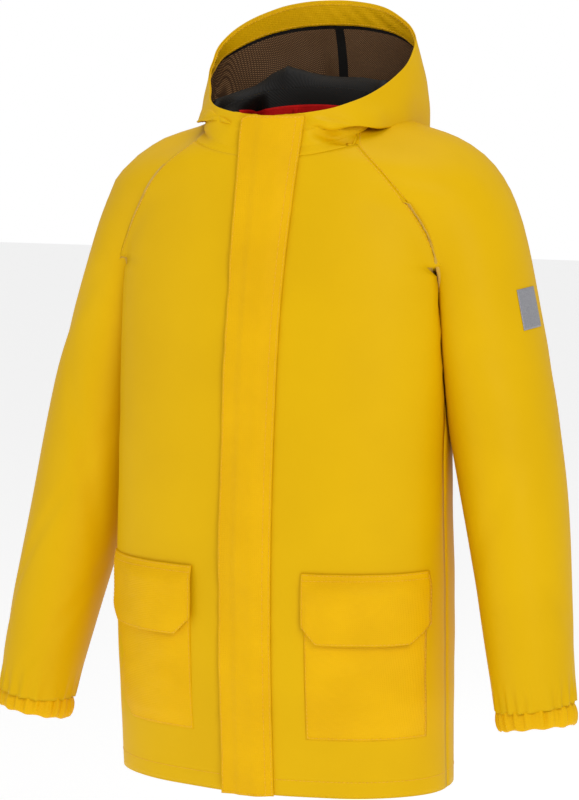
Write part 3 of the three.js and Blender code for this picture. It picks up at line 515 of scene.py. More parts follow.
def mesh_cloth(name, thread, hole):
    """Polyester mesh lining: dark threads on the slant over what is behind them, drawn at a 1.8 mm pitch."""
    material, tree, shader, place = surface(name, Roughness=0.6, Specular_IOR_Level=0.25)
    height = weave(tree, place, 0.9, math.radians(45), math.radians(38))
    ramp = add_node(tree, "ShaderNodeValToRGB", links={"Fac": height})
    ramp.color_ramp.elements[0].color = rgb(hole)
    ramp.color_ramp.elements[0].position = 0.3
    ramp.color_ramp.elements[1].color = rgb(thread)
    ramp.color_ramp.elements[1].position = 0.85
    tree.links.new(ramp.outputs["Color"], shader.inputs["Base Color"])
    bump(tree, shader, height, 0.35, 0.0006)
    return material


def ribbed_tape(name, low, high, roughness=0.75, thread=1.0):
    """Woven polyester tape, ribbed across its width."""
    material, tree, shader, place = surface(name, Roughness=roughness, Specular_IOR_Level=0.15)
    tree.links.new(two_tone(tree, place, low, high, 60.0), shader.inputs["Base Color"])
    bump(tree, shader, weave(tree, place, thread), 0.4, 0.0004)
    return material


def sewing_thread():
    """Glossy polyester thread in the colour of the cloth, twisted."""
    material, tree, shader, place = surface("polyester_thread", Roughness=0.42, Sheen_Weight=0.1)
    tree.links.new(two_tone(tree, place, "#E8AC00", "#F4BC0A", 300.0), shader.inputs["Base Color"])
    return material


def nickel_steel():
    """Nickel-plated steel of press studs and zip slider: bright, with fine tumbling marks."""
    material, tree, shader, place = surface(
        "nickel_plated_steel", Base_Color=rgb("#B9B6AE"), Metallic=1.0, Roughness=0.28)
    marks = add_node(tree, "ShaderNodeTexNoise", links={"Vector": place}, Scale=700.0, Detail=4.0)
    bump(tree, shader, marks.outputs["Fac"], 0.12, 0.0002)
    return material


def acetal_teeth():
    """Moulded acetal zip teeth, dyed to the cloth: smooth with a low gloss."""
    material, tree, shader, place = surface("moulded_acetal_teeth", Roughness=0.35, IOR=1.48)
    tree.links.new(two_tone(tree, place, "#D9A406", "#E0AC10", 200.0), shader.inputs["Base Color"])
    return material


def bead_reflector():
    """Glass-bead reflective cloth: an even grey with a fine sparkle of beads."""
    material, tree, shader, place = surface("glass_bead_reflector", Roughness=0.35, Metallic=0.25)
    tree.links.new(two_tone(tree, place, "#85858A", "#A3A3A8", 900.0), shader.inputs["Base Color"])
    beads = add_node(tree, "ShaderNodeTexVoronoi", links={"Vector": place}, Scale=1400.0)
    bump(tree, shader, beads.outputs["Distance"], 0.2, 0.0002)
    return material


SHELL = coated_stretch()
WOVEN = coated_weave()
BACKING = knit_backing()
BROWN_MESH = mesh_cloth("brown_mesh_lining", "#4A3320", "#A27A52")
BLACK_MESH = mesh_cloth("black_mesh_lining", "#090807", "#16120E")
RED_TAPE = ribbed_tape("red_neck_tape", "#B40A08", "#C4100C")
DARK_TAPE = ribbed_tape("dark_woven_label", "#1F1E20", "#2B2A2C")
ZIP_TAPE = ribbed_tape("yellow_zip_tape", "#D09C08", "#DAA610")
ELASTIC = ribbed_tape("braided_elastic", "#DDD8CA", "#E8E4D8", 0.85, 1.6)
THREAD = sewing_thread()
METAL = nickel_steel()
TEETH = acetal_teeth()
REFLECTOR = bead_reflector()


# ---- Relief: how the worn cloth departs from the plain skin --------------------------------------------------
broad_waves = Waves(250, stretch=(1, 1, 1.6))
hem_waves = Waves(120, stretch=(1, 1, 5))
fine_waves = Waves(70)


def body_relief(p):
    """Slack that grows from the shoulders to the hem."""
    z = p[..., 2]
    hem = smooth(-480, HEM_Z, z)
    return 1.3 * broad_waves(p) + 1.5 * hem * hem_waves(p) + 0.25 * fine_waves(p)


def on_body(p, n, stand=0.0):
    return p + n * (body_relief(p) + stand)[..., None]


def share_grid(rows, columns):
    v, u = np.meshgrid(np.linspace(0, 1, rows + 1), np.linspace(0, 1, columns + 1), indexing="ij")
    return v, u


def grid_normals(p, like):
    """Normals of a grid of points, on the same side as the ones given."""
    n = unit(np.cross(np.gradient(p, axis=1), np.gradient(p, axis=0)))
    return np.where((n * like).sum(-1, keepdims=True) < 0, -n, n)


def from_half(p):
    """A whole grid from its wearer's left half, whose first column is in the middle."""
    return np.concatenate([mirrored(p[:, :0:-1]), p], axis=1)


def sew(piece, body, nodes=()):
    """Hides the parts that a piece replaces and, unless it bends, attaches it to what it rides on."""
    if nodes:
        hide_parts(*nodes)
    if body:
        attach(piece, body)


def sew_sheet(piece, body, nodes):
    """Sews a piece cut from flat cloth."""
    sew(piece, body, nodes)


# ---- Body panels --------------------------------------------------------------------------------------------
TYPICAL_RADIUS = 125        # turns a small width at the centre front into an angle
FRONT_COLUMNS, FRONT_ROWS, FRONT_YOKE_ROWS = 34, 104, 30
BACK_COLUMNS, BACK_ROWS, BACK_YOKE_ROWS = 36, 74, 24


def panel_grid(back, inner_x, columns, body_rows, yoke_rows):
    """Half of the front or of the back on the wearer's left, from the hem to the neck, with its normals."""
    raglan = RAGLAN_BACK if back else RAGLAN_FRONT
    neck_z = NECK_BACK_Z if back else NECK_FRONT_Z
    first = inner_x / TYPICAL_RADIUS
    v, u = share_grid(body_rows, columns)
    angle = mix(math.pi - first if back else first, math.pi / 2, u)
    low, low_n = by_angle(angle, mix(HEM_Z, ARMPIT_Z - UNDERARM_DROP, v))
    v, u = share_grid(yoke_rows, columns)
    edge = catmull([(x, 0, z) for x, z in raglan], 1 - v)
    x = mix(inner_x, edge[..., 0], u)
    high, high_n = by_face(x, mix(mix(ARMPIT_Z, neck_z, v), edge[..., 2], u * u), back)
    return np.vstack([low, high]), np.vstack([low_n, high_n])


front_p, front_n = panel_grid(False, EDGE_X, FRONT_COLUMNS, FRONT_ROWS, FRONT_YOKE_ROWS)
shell_lines = []
edges = {}
for side, sign in (("left", 1), ("right", -1)):
    base = front_p if sign > 0 else mirrored(front_p)
    up = front_n if sign > 0 else mirrored(front_n)
    p = seam_roll(on_body(base, up), up, ["last"])
    up = grid_normals(p, up)
    piece = cloth(f"front_{side}", p, up, SHELL, BACKING, CLOTH)
    sew_sheet(piece, "shell", [f"front_panel_{side}"])
    edges["front", side] = p[:, -1] * [sign, 1, 1]
    edges["front"] = p[-1] * [sign, 1, 1]
    yoke = slice(FRONT_ROWS + 2, None)
    shell_lines.append(line_in(p[yoke], up[yoke], "last", SEAM_INSET))
    shell_lines.append(line_in(p, up, "bottom", HEM_INSET))

half_p, half_n = panel_grid(True, 0, BACK_COLUMNS, BACK_ROWS, BACK_YOKE_ROWS)
back_p, back_n = from_half(half_p), from_half(half_n)
back_p = seam_roll(on_body(back_p, back_n), back_n, ["first", "last"])
back_n = grid_normals(back_p, back_n)
edges["back"] = back_p[-1, back_p.shape[1] // 2:]
for side, column in (("left", back_p[:, -1]), ("right", back_p[:, 0])):
    edges["back", side] = np.abs(column[:, :1]) * [1, 0, 0] + column * [0, 1, 1]
back = cloth("back", back_p, back_n, SHELL, BACKING, CLOTH)
sew_sheet(back, "shell", ["back_panel"])
shell_lines.append(line_in(back_p, back_n, "bottom", HEM_INSET))
yoke = slice(BACK_ROWS + 2, None)
for side in ("first", "last"):
    shell_lines.append(line_in(back_p[yoke], back_n[yoke], side, SEAM_INSET))

HEM_START = 0.2             # radians from the centre front
HEM_FOLD = 0.6              # rise of the turned-up band over the edge of the panels
HEM_STAND = 1.6             # it hangs this far inside them
v, u = share_grid(4, 220)
hem_angle = mix(HEM_START, 2 * math.pi - HEM_START, u)
hem_p, hem_n = by_angle(hem_angle, HEM_Z + HEM_FOLD + v * HEM_DEPTH)
hem_p = on_body(hem_p, hem_n, -CLOTH - HEM_STAND)
hem = cloth("hem_band", hem_p, hem_n, BACKING, WOVEN, HEM_THICKNESS)
sew_sheet(hem, "shell", ["hem_facing"])

# ---- Sleeves ------------------------------------------------------------------------------------------------
SHOULDER_HEART = np.array([165.0, 55.0, -120.0])    # rays for the shoulder start here
HEART_REACH = 200
ROUND = 20                  # a turn round the arm is counted in this many parts
YOKE_SHARE = 6              # parts that a raglan seam takes up
UNDER = 2                   # parts between the middle of the underarm and the end of a raglan seam
UNDERARM_ANGLE = 1.08
ARM_START, ARM_END = 0.16, 0.55     # shares of the arm between which it leaves the swing radius
BLEND_Z = (-172, -150)      # below this the body flattens a sleeve, above it the two are one shape
FRONT_TOP = UNDER + YOKE_SHARE
BACK_TOP = ROUND - FRONT_TOP


def column_angle(k):
    """Angle round the arm of a column; columns are wide under the arm and even over the shoulder."""
    from_middle = np.minimum(k, ROUND - k)
    over = from_middle - UNDER
    angle = np.where(over < 0, UNDERARM_ANGLE * from_middle / UNDER,
                     mix(UNDERARM_ANGLE, math.pi, over / (ROUND / 2 - UNDER)))
    return np.where(k <= ROUND / 2, angle, 2 * math.pi - angle)


def ring_at_radius(radius, angle):
    """Share of the arm at which each angle's line leaves a cylinder about the shoulder's axis."""
    near, far = np.full(angle.shape, ARM_START), np.full(angle.shape, ARM_END)
    for _ in range(14):
        t = (near + far) / 2
        p, _ = by_arm(t, angle)
        inside = np.hypot(p[..., 0] - SHOULDER_AXIS[0], p[..., 2] - SHOULDER_AXIS[1]) < radius
        near, far = np.where(inside, t, near), np.where(inside, far, t)
    return near


def shoulder_field(p):
    return mix(sleeve_field(p), whole_field(p), smooth(*BLEND_Z, p[..., 2]))


def armhole(k):
    """The edge a sleeve is sewn in by: under the arm, up the front, along the neck and down the back."""
    front = catmull([(x, 0, z) for x, z in RAGLAN_FRONT], np.clip((FRONT_TOP - k) / YOKE_SHARE, 0, 1))
    rear = catmull([(x, 0, z) for x, z in RAGLAN_BACK], np.clip((k - BACK_TOP) / YOKE_SHARE, 0, 1))
    front_p, _ = by_face(front[:, 0], front[:, 2])
    rear_p, _ = by_face(rear[:, 0], rear[:, 2], True)
    side_seam, _ = by_angle(np.array([math.pi / 2]), np.array([ARMPIT_Z - UNDERARM_DROP]))
    under = np.clip(np.minimum(k, ROUND - k) / UNDER, 0, 1)[:, None]
    over = mix(front_p, rear_p, np.clip((k - FRONT_TOP) / (BACK_TOP - FRONT_TOP), 0, 1)[:, None])
    return mix(side_seam, over, under)


def edge_place(edge, body_rows, yoke_rows, k):
    """The place on a panel's finished edge that lies k parts up from the middle of the underarm."""
    up = (k - UNDER) / YOKE_SHARE
    share = np.clip(up, -1, 1) * np.where(k < UNDER, YOKE_SHARE / UNDER, 1)
    row = body_rows + 1 + share * np.where(share < 0, 1, yoke_rows)
    return np.stack([np.interp(row, np.arange(len(edge)), edge[:, c]) for c in range(3)], -1)


def panel_edge(k, side):
    """The finished edge of the panels, as displaced and rolled, that a sleeve's columns meet."""
    front = edge_place(edges["front", side], FRONT_ROWS, FRONT_YOKE_ROWS, k)
    rear = edge_place(edges["back", side], BACK_ROWS, BACK_YOKE_ROWS, ROUND - k)
    return mix(front, rear, np.clip((k - FRONT_TOP) / (BACK_TOP - FRONT_TOP), 0, 1)[:, None])


SHOULDER_STEPS = 26
ARM_ROWS = 104
ARM_COLUMNS = 100
UNDERARM_BLEND = (1.0, 2.6)     # parts over which the plain underarm becomes the round shoulder
columns = np.linspace(0, ROUND, ARM_COLUMNS, endpoint=False)


def sleeve_grid():
    """Wearer's left sleeve from the armhole to the cuff: its points, shares of the arm and angles."""
    k = columns
    angle = column_angle(k)
    end_t = ring_at_radius(SWING_RADIUS, angle)
    end, _ = by_arm(end_t, angle)
    edge = armhole(k)
    v = np.linspace(0, 1, SHOULDER_STEPS + 1)[:, None]
    target = mix(edge[None], end[None], v[..., None])
    heart = np.broadcast_to(SHOULDER_HEART, target.shape)
    over = shoot(shoulder_field, heart, unit(target - SHOULDER_HEART), HEART_REACH)
    top = mix(target, over, smooth(*UNDERARM_BLEND, np.minimum(k, ROUND - k))[None, :, None])
    v = np.linspace(0, 1, ARM_ROWS + 1)[1:, None]
    t = mix(end_t, 1, v)
    low, _ = by_arm(t, np.broadcast_to(angle, t.shape))
    shoulder_share = end_t[None] * np.linspace(0.3, 1, SHOULDER_STEPS + 1)[:, None]
    share = np.vstack([shoulder_share, t])
    return np.vstack([top, low]), share, np.broadcast_to(angle, share.shape)


def round_normals(p, centre_like):
    """Normals of a tube of points, on the same side as the ones given."""
    closed = np.concatenate([p[:, -1:], p, p[:, :1]], axis=1)
    n = unit(np.cross(np.gradient(closed, axis=1), np.gradient(closed, axis=0))[:, 1:-1])
    return n if (n * centre_like).sum() > 0 else -n


# Soft folds of a hanging sleeve: share of the arm, angle round it, slant, depth in mm, half length and width.
FOLDS = {
    "left": [(0.42, 2.2, 0.10, 1.4, 0.9, 0.07), (0.66, 1.5, -0.12, 1.2, 0.8, 0.06),
             (0.82, 2.6, 0.10, 1.0, 0.9, 0.045), (0.55, 4.6, 0.1, 2.0, 0.9, 0.06)],
    "right": [(0.36, 2.4, 0.16, 1.6, 1.0, 0.07), (0.60, 1.2, -0.20, 1.6, 0.8, 0.06),
              (0.72, 1.9, 0.22, 1.4, 0.9, 0.05), (0.86, 1.0, 0.14, 1.2, 0.8, 0.04), (0.6, 4.4, 0.1, 2.0, 0.9, 0.06)],
}
GATHERS = 21                # at the cuff
SEAM_BLEND = 26             # a sleeve's first stretch, over which it settles to the height of the panels


def sleeve_relief(p, t, angle, side, waves, gather_phase):
    """Slack, soft folds, and the ripples that the gathered cuff sends up the arm."""
    relief = 1.3 * waves(p) * smooth(0.1, 0.4, t)
    for at, turn, slant, depth, half_length, half_width in FOLDS[side]:
        away = np.angle(np.exp(1j * (angle - turn)))
        across = (t - at - slant * away) / half_width
        relief = relief + depth * np.exp(-across**2) * np.exp(-((away / half_length) ** 2)) * -np.cos(across * 2.2)
    ripple = np.sin(GATHERS * angle + gather_phase(angle))
    return relief + 2.0 * ripple * smooth(0.93, 1.0, t) ** 1.5


def sleeve_drop(p, t, sign):
    """The sleeves don't hang quite alike: the wearer's right one is lower, the left one a little higher."""
    shift = np.array([0.0, 0.0, 13.0]) if sign > 0 else np.array([-9.0, 0.0, -22.0])
    moved = p + shift * smooth(0.3, 1.0, t)[..., None]
    if sign > 0:
        return moved
    inward = smooth(0.05, 0.14, t) * (1 - 0.8 * smooth(0.6, 1.0, t))
    lowered = smooth(0.05, 0.12, t) * (1 - smooth(0.2, 0.4, t))
    return moved + np.array([8.5, 0.0, 0.0]) * inward[..., None] + np.array([0.0, 0.0, -5.0]) * lowered[..., None]


arm_p, arm_t, arm_angle = sleeve_grid()
arm_middle = arm_frame(np.clip(arm_t, 0, 1))[0]
plain_n = round_normals(arm_p, arm_p - arm_middle)
# Outline of a gathered cuff: way down it as a share of its height, and stand from its radius
CASING_OUT = [(0, 0.2), (0.06, 1.6), (0.25, 3.2), (0.5, 3.8), (0.75, 3.3), (0.93, 1.8), (1.0, -0.6)]
CASING_IN = [(1.0, -0.6), (0.85, -3.0), (0.5, -3.4), (0.1, -3.0)]
CUFF_HEIGHT = 27
CUFF_RADIUS = 43
CUFF_COLUMNS = 220
CUFF_STEPS = 34
ELASTIC_WAY = (5, 22)
ELASTIC_STAND = -2.2
CUFF_LIFT = 0.5
SLEEVE_SEAM_DEPTH = 0.8
SLEEVE_SEAM_WIDTH = 4
OVER_SHOULDER_COLUMNS = 22
SLEEVE_SLACK_FROM = 90      # distance from the armhole at which a sleeve has its own slack
ALLOWANCE_REACH = 3.0
ALLOWANCE_DEPTH = 1.0
STITCHED_PARTS = (2.2, 17.8)


def cuff_ring(way, off, sign):
    """Rings about the end of a sleeve: way runs down the arm from its end, off is the stand from the radius."""
    middle, axis, outward = arm_frame(np.array(1.0))
    forward = np.cross(outward, axis)
    a = np.linspace(0, 2 * np.pi, CUFF_COLUMNS, endpoint=False)
    radial = outward * np.cos(a)[:, None] + forward * np.sin(a)[:, None]
    p = middle + radial[None] * (CUFF_RADIUS + off)[..., None] + axis * way[..., None]
    n = np.broadcast_to(radial, p.shape)
    if sign < 0:
        p, n = mirrored(p), mirrored(n)
    return sleeve_drop(p, np.ones(p.shape[:-1]), sign), n


for side, sign in (("left", 1), ("right", -1)):
    waves = Waves(170, stretch=(1, 1, 1.5))
    wobble = RNG.uniform(0, 2 * np.pi, 3)

    def gather_phase(a, wobble=wobble):
        return 1.3 * np.sin(2 * a + wobble[0]) + 0.9 * np.sin(5 * a + wobble[1]) + 0.5 * np.sin(9 * a + wobble[2])

    relief = sleeve_relief(arm_p, arm_t, arm_angle, side, waves, gather_phase)
    from_seam = smooth(0, SLEEVE_SLACK_FROM, edge_run(arm_p, "bottom"))
    relief = mix(body_relief(arm_p if sign > 0 else mirrored(arm_p)), relief, from_seam)
    p = arm_p + plain_n * relief[..., None]
    p = seam_roll(p, plain_n, ["bottom"], SLEEVE_SEAM_DEPTH, SLEEVE_SEAM_WIDTH)
    jump = panel_edge(columns, side) - p[0]
    sewn = (columns <= FRONT_TOP) | (columns >= BACK_TOP)
    jump = np.stack([np.interp(columns, columns[sewn], jump[sewn, c]) for c in range(3)], -1)
    p = p + jump[None] * smooth(SEAM_BLEND, 0, edge_run(p, "bottom"))[..., None]
    if sign < 0:
        p = mirrored(p)
    p = sleeve_drop(p, arm_t, sign)
    like = plain_n if sign > 0 else mirrored(plain_n)
    n = round_normals(p, like)
    if sign > 0:
        left_sleeve = (p, n)
        shares = np.linspace(0, 1, ARM_COLUMNS, endpoint=False)
        edges["sleeve"] = p[0, np.argsort(np.abs(shares - 0.5))[:OVER_SHOULDER_COLUMNS]]
    tucked = tuck_under(p, n, ALLOWANCE_REACH, ALLOWANCE_DEPTH, around=True)
    tucked_n = round_normals(tucked, np.vstack([like[:2], like]))
    piece = cloth(f"sleeve_cloth_{side}", tucked, tucked_n, SHELL, BACKING, CLOTH, around=True)
    sew_sheet(piece, None, [f"shoulder_{side}", f"sleeve_{side}"])
    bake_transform(piece)
    over_k = slice(*(int(ARM_COLUMNS * part / ROUND) for part in STITCHED_PARTS))
    raglan_line = line_in(p[:, over_k], n[:, over_k], "bottom", RAGLAN_INSET)
    line = stitches(f"raglan_stitches_{side}", [raglan_line], THREAD)
    sew(line, None)
    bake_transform(line)

    outline = np.array(CASING_OUT + CASING_IN[1:])
    a = np.linspace(0, 2 * np.pi, CUFF_COLUMNS, endpoint=False)
    puff = np.sin(GATHERS * a + gather_phase(a))
    puff = puff + 0.35 * np.sin(2.1 * GATHERS * a + wobble[1])
    fine = np.linspace(0, 1, CUFF_STEPS)
    line_t = np.linspace(0, 1, len(outline))
    way = np.interp(fine, line_t, outline[:, 0])[:, None] * CUFF_HEIGHT * np.ones(CUFF_COLUMNS)
    off = np.interp(fine, line_t, outline[:, 1])[:, None] * np.ones(CUFF_COLUMNS)
    swell = np.sin(np.pi * np.clip(way / CUFF_HEIGHT, 0, 1)) ** 0.6
    off = off + puff * (0.5 + 1.1 * swell)
    way = way + 0.9 * np.sin(GATHERS * a / 2 + wobble[2]) * (way / CUFF_HEIGHT) - CUFF_LIFT
    p, n = cuff_ring(way, off, sign)
    piece = cloth(f"cuff_{side}", p, round_normals(p, n), WOVEN, WOVEN, TRIM, around=True)
    sew_sheet(piece, f"sleeve_{side}", [f"cuff_casing_{side}"])
    rows = np.linspace(*ELASTIC_WAY, 6)[:, None] * np.ones(CUFF_COLUMNS)
    p, n = cuff_ring(rows, ELASTIC_STAND + 0.5 * puff * np.ones_like(rows), sign)
    piece = cloth(f"elastic_{side}", p, n, ELASTIC, ELASTIC, TAPE_THICKNESS, around=True)
    sew_sheet(piece, f"sleeve_{side}", [f"cuff_elastic_{side}"])

body_thread = stitches("body_stitches", shell_lines, THREAD)
sew(body_thread, "shell")

# ---- Storm flap ---------------------------------------------------------------------------------------------
FLAP_FREE = [(-783, -33), (-400, -32), (-150, -30), (13, -31)]
FLAP_SEWN = [(-783, 31), (-230, 35), (13, 46)]
FLAP_BASE = 1.6             # the flap's least stand over the panels
FLAP_RISE = 5.5             # over the zip
FLAP_EDGE_RISE = 3.2
FLAP_CORNER_DROP = 3.5      # the free edge's top corner sags
SNAP_COUNT = 5
SNAP_X = -25
SNAP_TOP_Z = -56
SNAP_PITCH = 160
STUD_STAND = 0.7
SOCKET_STAND = -2.3


def front_place(x, z, stand):
    """A place on the front given by X and height; above the neck it goes on up the collar."""
    reach = np.minimum(z, NECK_FRONT_Z)
    p, n = by_face(x, reach)
    above = (z - reach) / (THROAT_Z - NECK_FRONT_Z)
    p = p + np.stack([0 * z, front_y(z) - front_y(reach), z - reach], -1)
    flat = unit(n * [1, 1, 0])
    n = np.where(above[..., None] > 0, flat, n)
    relief = body_relief(p) * (1 - smooth(-120, -30, z) * 0.8)
    return p + n * (relief + stand)[..., None], n


def flap_stand(u):
    rise = np.where(u < 0.5, mix(FLAP_EDGE_RISE, FLAP_RISE, smooth(0.22, 0.38, u)), FLAP_RISE)
    return CLOTH + FLAP_BASE + rise * (1 - smooth(0.62, 0.98, u))


flap_waves = Waves(95)
pucker_waves = Waves(26, stretch=(1.6, 1, 1))


def flap_relief(x, z, u):
    """Slack between the press studs, small puckers along the sewn edge, and a lazy free edge."""
    snap = np.cos(2 * np.pi * (z - SNAP_TOP_Z) / SNAP_PITCH)
    place = np.stack([x, 0 * x, z], -1)
    edge = (1 - u) ** 2
    return 1.1 * flap_waves(place) * smooth(1, 0.75, u) + 0.35 * pucker_waves(place) * smooth(0.5, 0.95, u) \
        - 0.9 * edge * snap + 0.5 * edge * pucker_waves(place * [0, 1, 1])


v, u = share_grid(260, 30)
z = mix(HEM_Z - 0.5, THROAT_Z, v)
x = mix(along(FLAP_FREE, z), along(FLAP_SEWN, z), u)
drop = FLAP_CORNER_DROP * smooth(0.12, 0.0, u) * smooth(THROAT_Z - 14, THROAT_Z, z)
flap_p, flap_n = front_place(x, z - drop, flap_stand(u) + flap_relief(x, z, u))
flap_n = grid_normals(flap_p, flap_n)
flap = cloth("flap_cloth", flap_p, flap_n, WOVEN, WOVEN, FLAP_THICKNESS)
sew_sheet(flap, None, ["storm_flap"])
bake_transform(flap)
flap_insets = (("last", TWIN_INSETS[0]), ("last", TWIN_INSETS[1]), ("first", TRIM_INSET), ("top", TRIM_INSET),
               ("bottom", FOLD_INSET))
flap_lines = [line_in(flap_p, flap_n, side, inset) for side, inset in flap_insets]
flap_thread = stitches("flap_stitches", flap_lines, THREAD)
sew(flap_thread, None)
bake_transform(flap_thread)

# ---- Zip behind the flap ------------------------------------------------------------------------------------
ZIP_TOP_Z = 7
ZIP_BOTTOM_Z = -728
TOOTH_PITCH = 3.2
TOOTH_EDGE = 0.3
TEETH_END_GAP = 3
TAPE_X = (3.0, 19.0)
TAPE_STAND = -2.9
TOOTH_X = 2.0
TOOTH_STAND = -1.8
TOOTH_HALF = (1.5, 0.95)    # half sizes of a tooth across and through the tape
HEAD_HALF, FOOT_HALF = 1.25, 0.8    # and along it, at the side that meshes and at the tape


def zip_place(x, z, off):
    """A place on the arc of the centre front, off it by a stand-off."""
    slope = (z - FRONT_ARC_Z) / FRONT_RADIUS
    level = np.sqrt(1 - slope**2)
    return np.stack([x, front_y(z) - off * level, z + off * slope], -1)


for side, sign in (("left", 1), ("right", -1)):
    v, u = share_grid(90, 4)
    z = mix(ZIP_BOTTOM_Z, ZIP_TOP_Z, v)
    p = zip_place(sign * mix(*TAPE_X, u), z, TAPE_STAND + 0 * z)
    n = np.broadcast_to([0.0, -1.0, 0.0], p.shape)
    tape = cloth(f"zip_tape_cloth_{side}", p, n, ZIP_TAPE, ZIP_TAPE, ZIP_TAPE_THICKNESS)
    sew_sheet(tape, "shell", [f"zip_tape_{side}"])
    middle = np.arange(ZIP_BOTTOM_Z + TEETH_END_GAP, ZIP_TOP_Z - TEETH_END_GAP, TOOTH_PITCH)
    middle = middle + (TOOTH_PITCH / 2 if sign < 0 else 0)
    corners = [(a, b, c) for a in (-0.9, 0.9) for b in (-1.1, 1.1) for c in (-0.7, 0.7)]
    blocks = [zip_place(sign * (TOOTH_X + a * TOOTH_HALF[0]) + 0 * middle,
                        middle + c * (HEAD_HALF if a < 0 else FOOT_HALF), TOOTH_STAND + b * TOOTH_HALF[1])
              for a, b, c in corners]
    points = np.stack(blocks, 1).reshape(-1, 3)
    box = np.array([(0, 1, 3, 2), (4, 6, 7, 5), (0, 4, 5, 1), (2, 3, 7, 6), (0, 2, 6, 4), (1, 5, 7, 3)])
    faces = (np.arange(len(middle))[:, None, None] * 8 + box[None]).reshape(-1, 4)
    teeth = new_mesh(f"zip_teeth_row_{side}", points, faces, [TEETH])
    soften = teeth.modifiers.new("edges", "BEVEL")
    soften.width = TOOTH_EDGE * MM
    soften.segments = 2
    sew(teeth, "shell", [f"zip_teeth_{side}"])


def lathe(name, profile, places, material, steps=28):
    """Turned pieces: one profile of (radius, height) pairs, set along the normal at each place."""
    points, faces = [], []
    turn = np.linspace(0, 2 * np.pi, steps, endpoint=False)
    ring = np.stack([np.cos(turn), np.sin(turn)], -1)
    for at, (place, up) in enumerate(places):
        aside = unit(np.cross(up, [0.0, 0.0, 1.0]))
        ahead = np.cross(up, aside)
        frame_axes = np.stack([aside, ahead], 0)
        for radius, height in profile:
            points.append(place + radius * ring @ frame_axes + up * height)
        base = at * len(profile) * steps
        faces.append(grid_faces(len(profile), steps, True) + base)
    return new_mesh(name, np.vstack(points), np.vstack(faces), [material])


STUD = [(0.01, 1.2), (2.3, 1.3), (2.9, 1.0), (2.7, 0.5), (3.4, 0.45), (5.6, 0.4), (6.0, 0.1), (5.9, -0.3),
        (0.01, -0.3)]
SOCKET = [(0.01, -1.4), (2.2, -1.5), (2.9, -2.2), (4.4, -2.2), (5.0, -1.4), (5.8, -1.0), (6.0, -0.2), (5.8, 0.3),
          (0.01, 0.3)]
for i in range(SNAP_COUNT):
    z = np.array([SNAP_TOP_Z - i * SNAP_PITCH], float)
    x = np.array([float(SNAP_X)])
    p, n = front_place(x, z, STUD_STAND)
    stud = lathe(f"stud_{i + 1}", STUD, [(p[0], n[0])], METAL)
    sew(stud, "shell", [f"flap_stud_{i + 1}"])
    u = (x - along(FLAP_FREE, z)) / (along(FLAP_SEWN, z) - along(FLAP_FREE, z))
    p, n = front_place(x, z, flap_stand(u) + flap_relief(x, z, u) + SOCKET_STAND)
    socket = lathe(f"socket_{i + 1}", SOCKET, [(p[0], n[0])], METAL)
    sew(socket, "storm_flap", [f"flap_socket_{i + 1}"])

# ---- Pockets ------------------------------------------------------------------------------------------------
POCKET_X = 72
POCKET_WIDTH = 126
POCKET_TOP_Z = -528
POCKET_HEIGHT = 184
POCKET_BULGE = 10
POCKET_FLAP_TOP_Z = -513
POCKET_FLAP_DEPTH = 82
POCKET_FLAP_OVERLAP = 3
POCKET_FLAP_CORNER = 18
POCKET_FLAP_EASE = 3.0
CORNER_SHARE = 0.24         # share of the flap's depth that its cut corners take up
BAG_BASE = 0.9              # stand of the bag's sewn edges
POCKET_FLAP_BASE = 2.6
FLATTEN = {"left": 0.0, "right": 0.85}      # how far the bag's outer half is pressed flat
POCKET_SNAP_DROP = 62.0
POCKET_STUD_STAND = 0.6
POCKET_SOCKET_STAND = -3.4


def pocket_place(x, z, stand):
    """A place on the body under the pockets, given by X and height."""
    angles = np.linspace(0.2, math.pi / 2, 90)
    heights = z[:, 0]
    a, b = np.meshgrid(heights, angles, indexing="ij")
    skin, _ = by_angle(b, a)
    angle = np.stack([np.interp(x[i], skin[i, :, 0], angles) for i in range(len(heights))])
    p, n = by_angle(angle, z)
    return on_body(p, n, stand), n


def bag_stand(u, v, flatten):
    swell = np.sin(np.pi * np.clip(u, 0.001, 0.999)) ** 0.5 * (1 - flatten * smooth(0.3, 1.0, u))
    return BAG_BASE + POCKET_BULGE * swell * mix(0.35, 1, v) * smooth(0, 0.12, v)


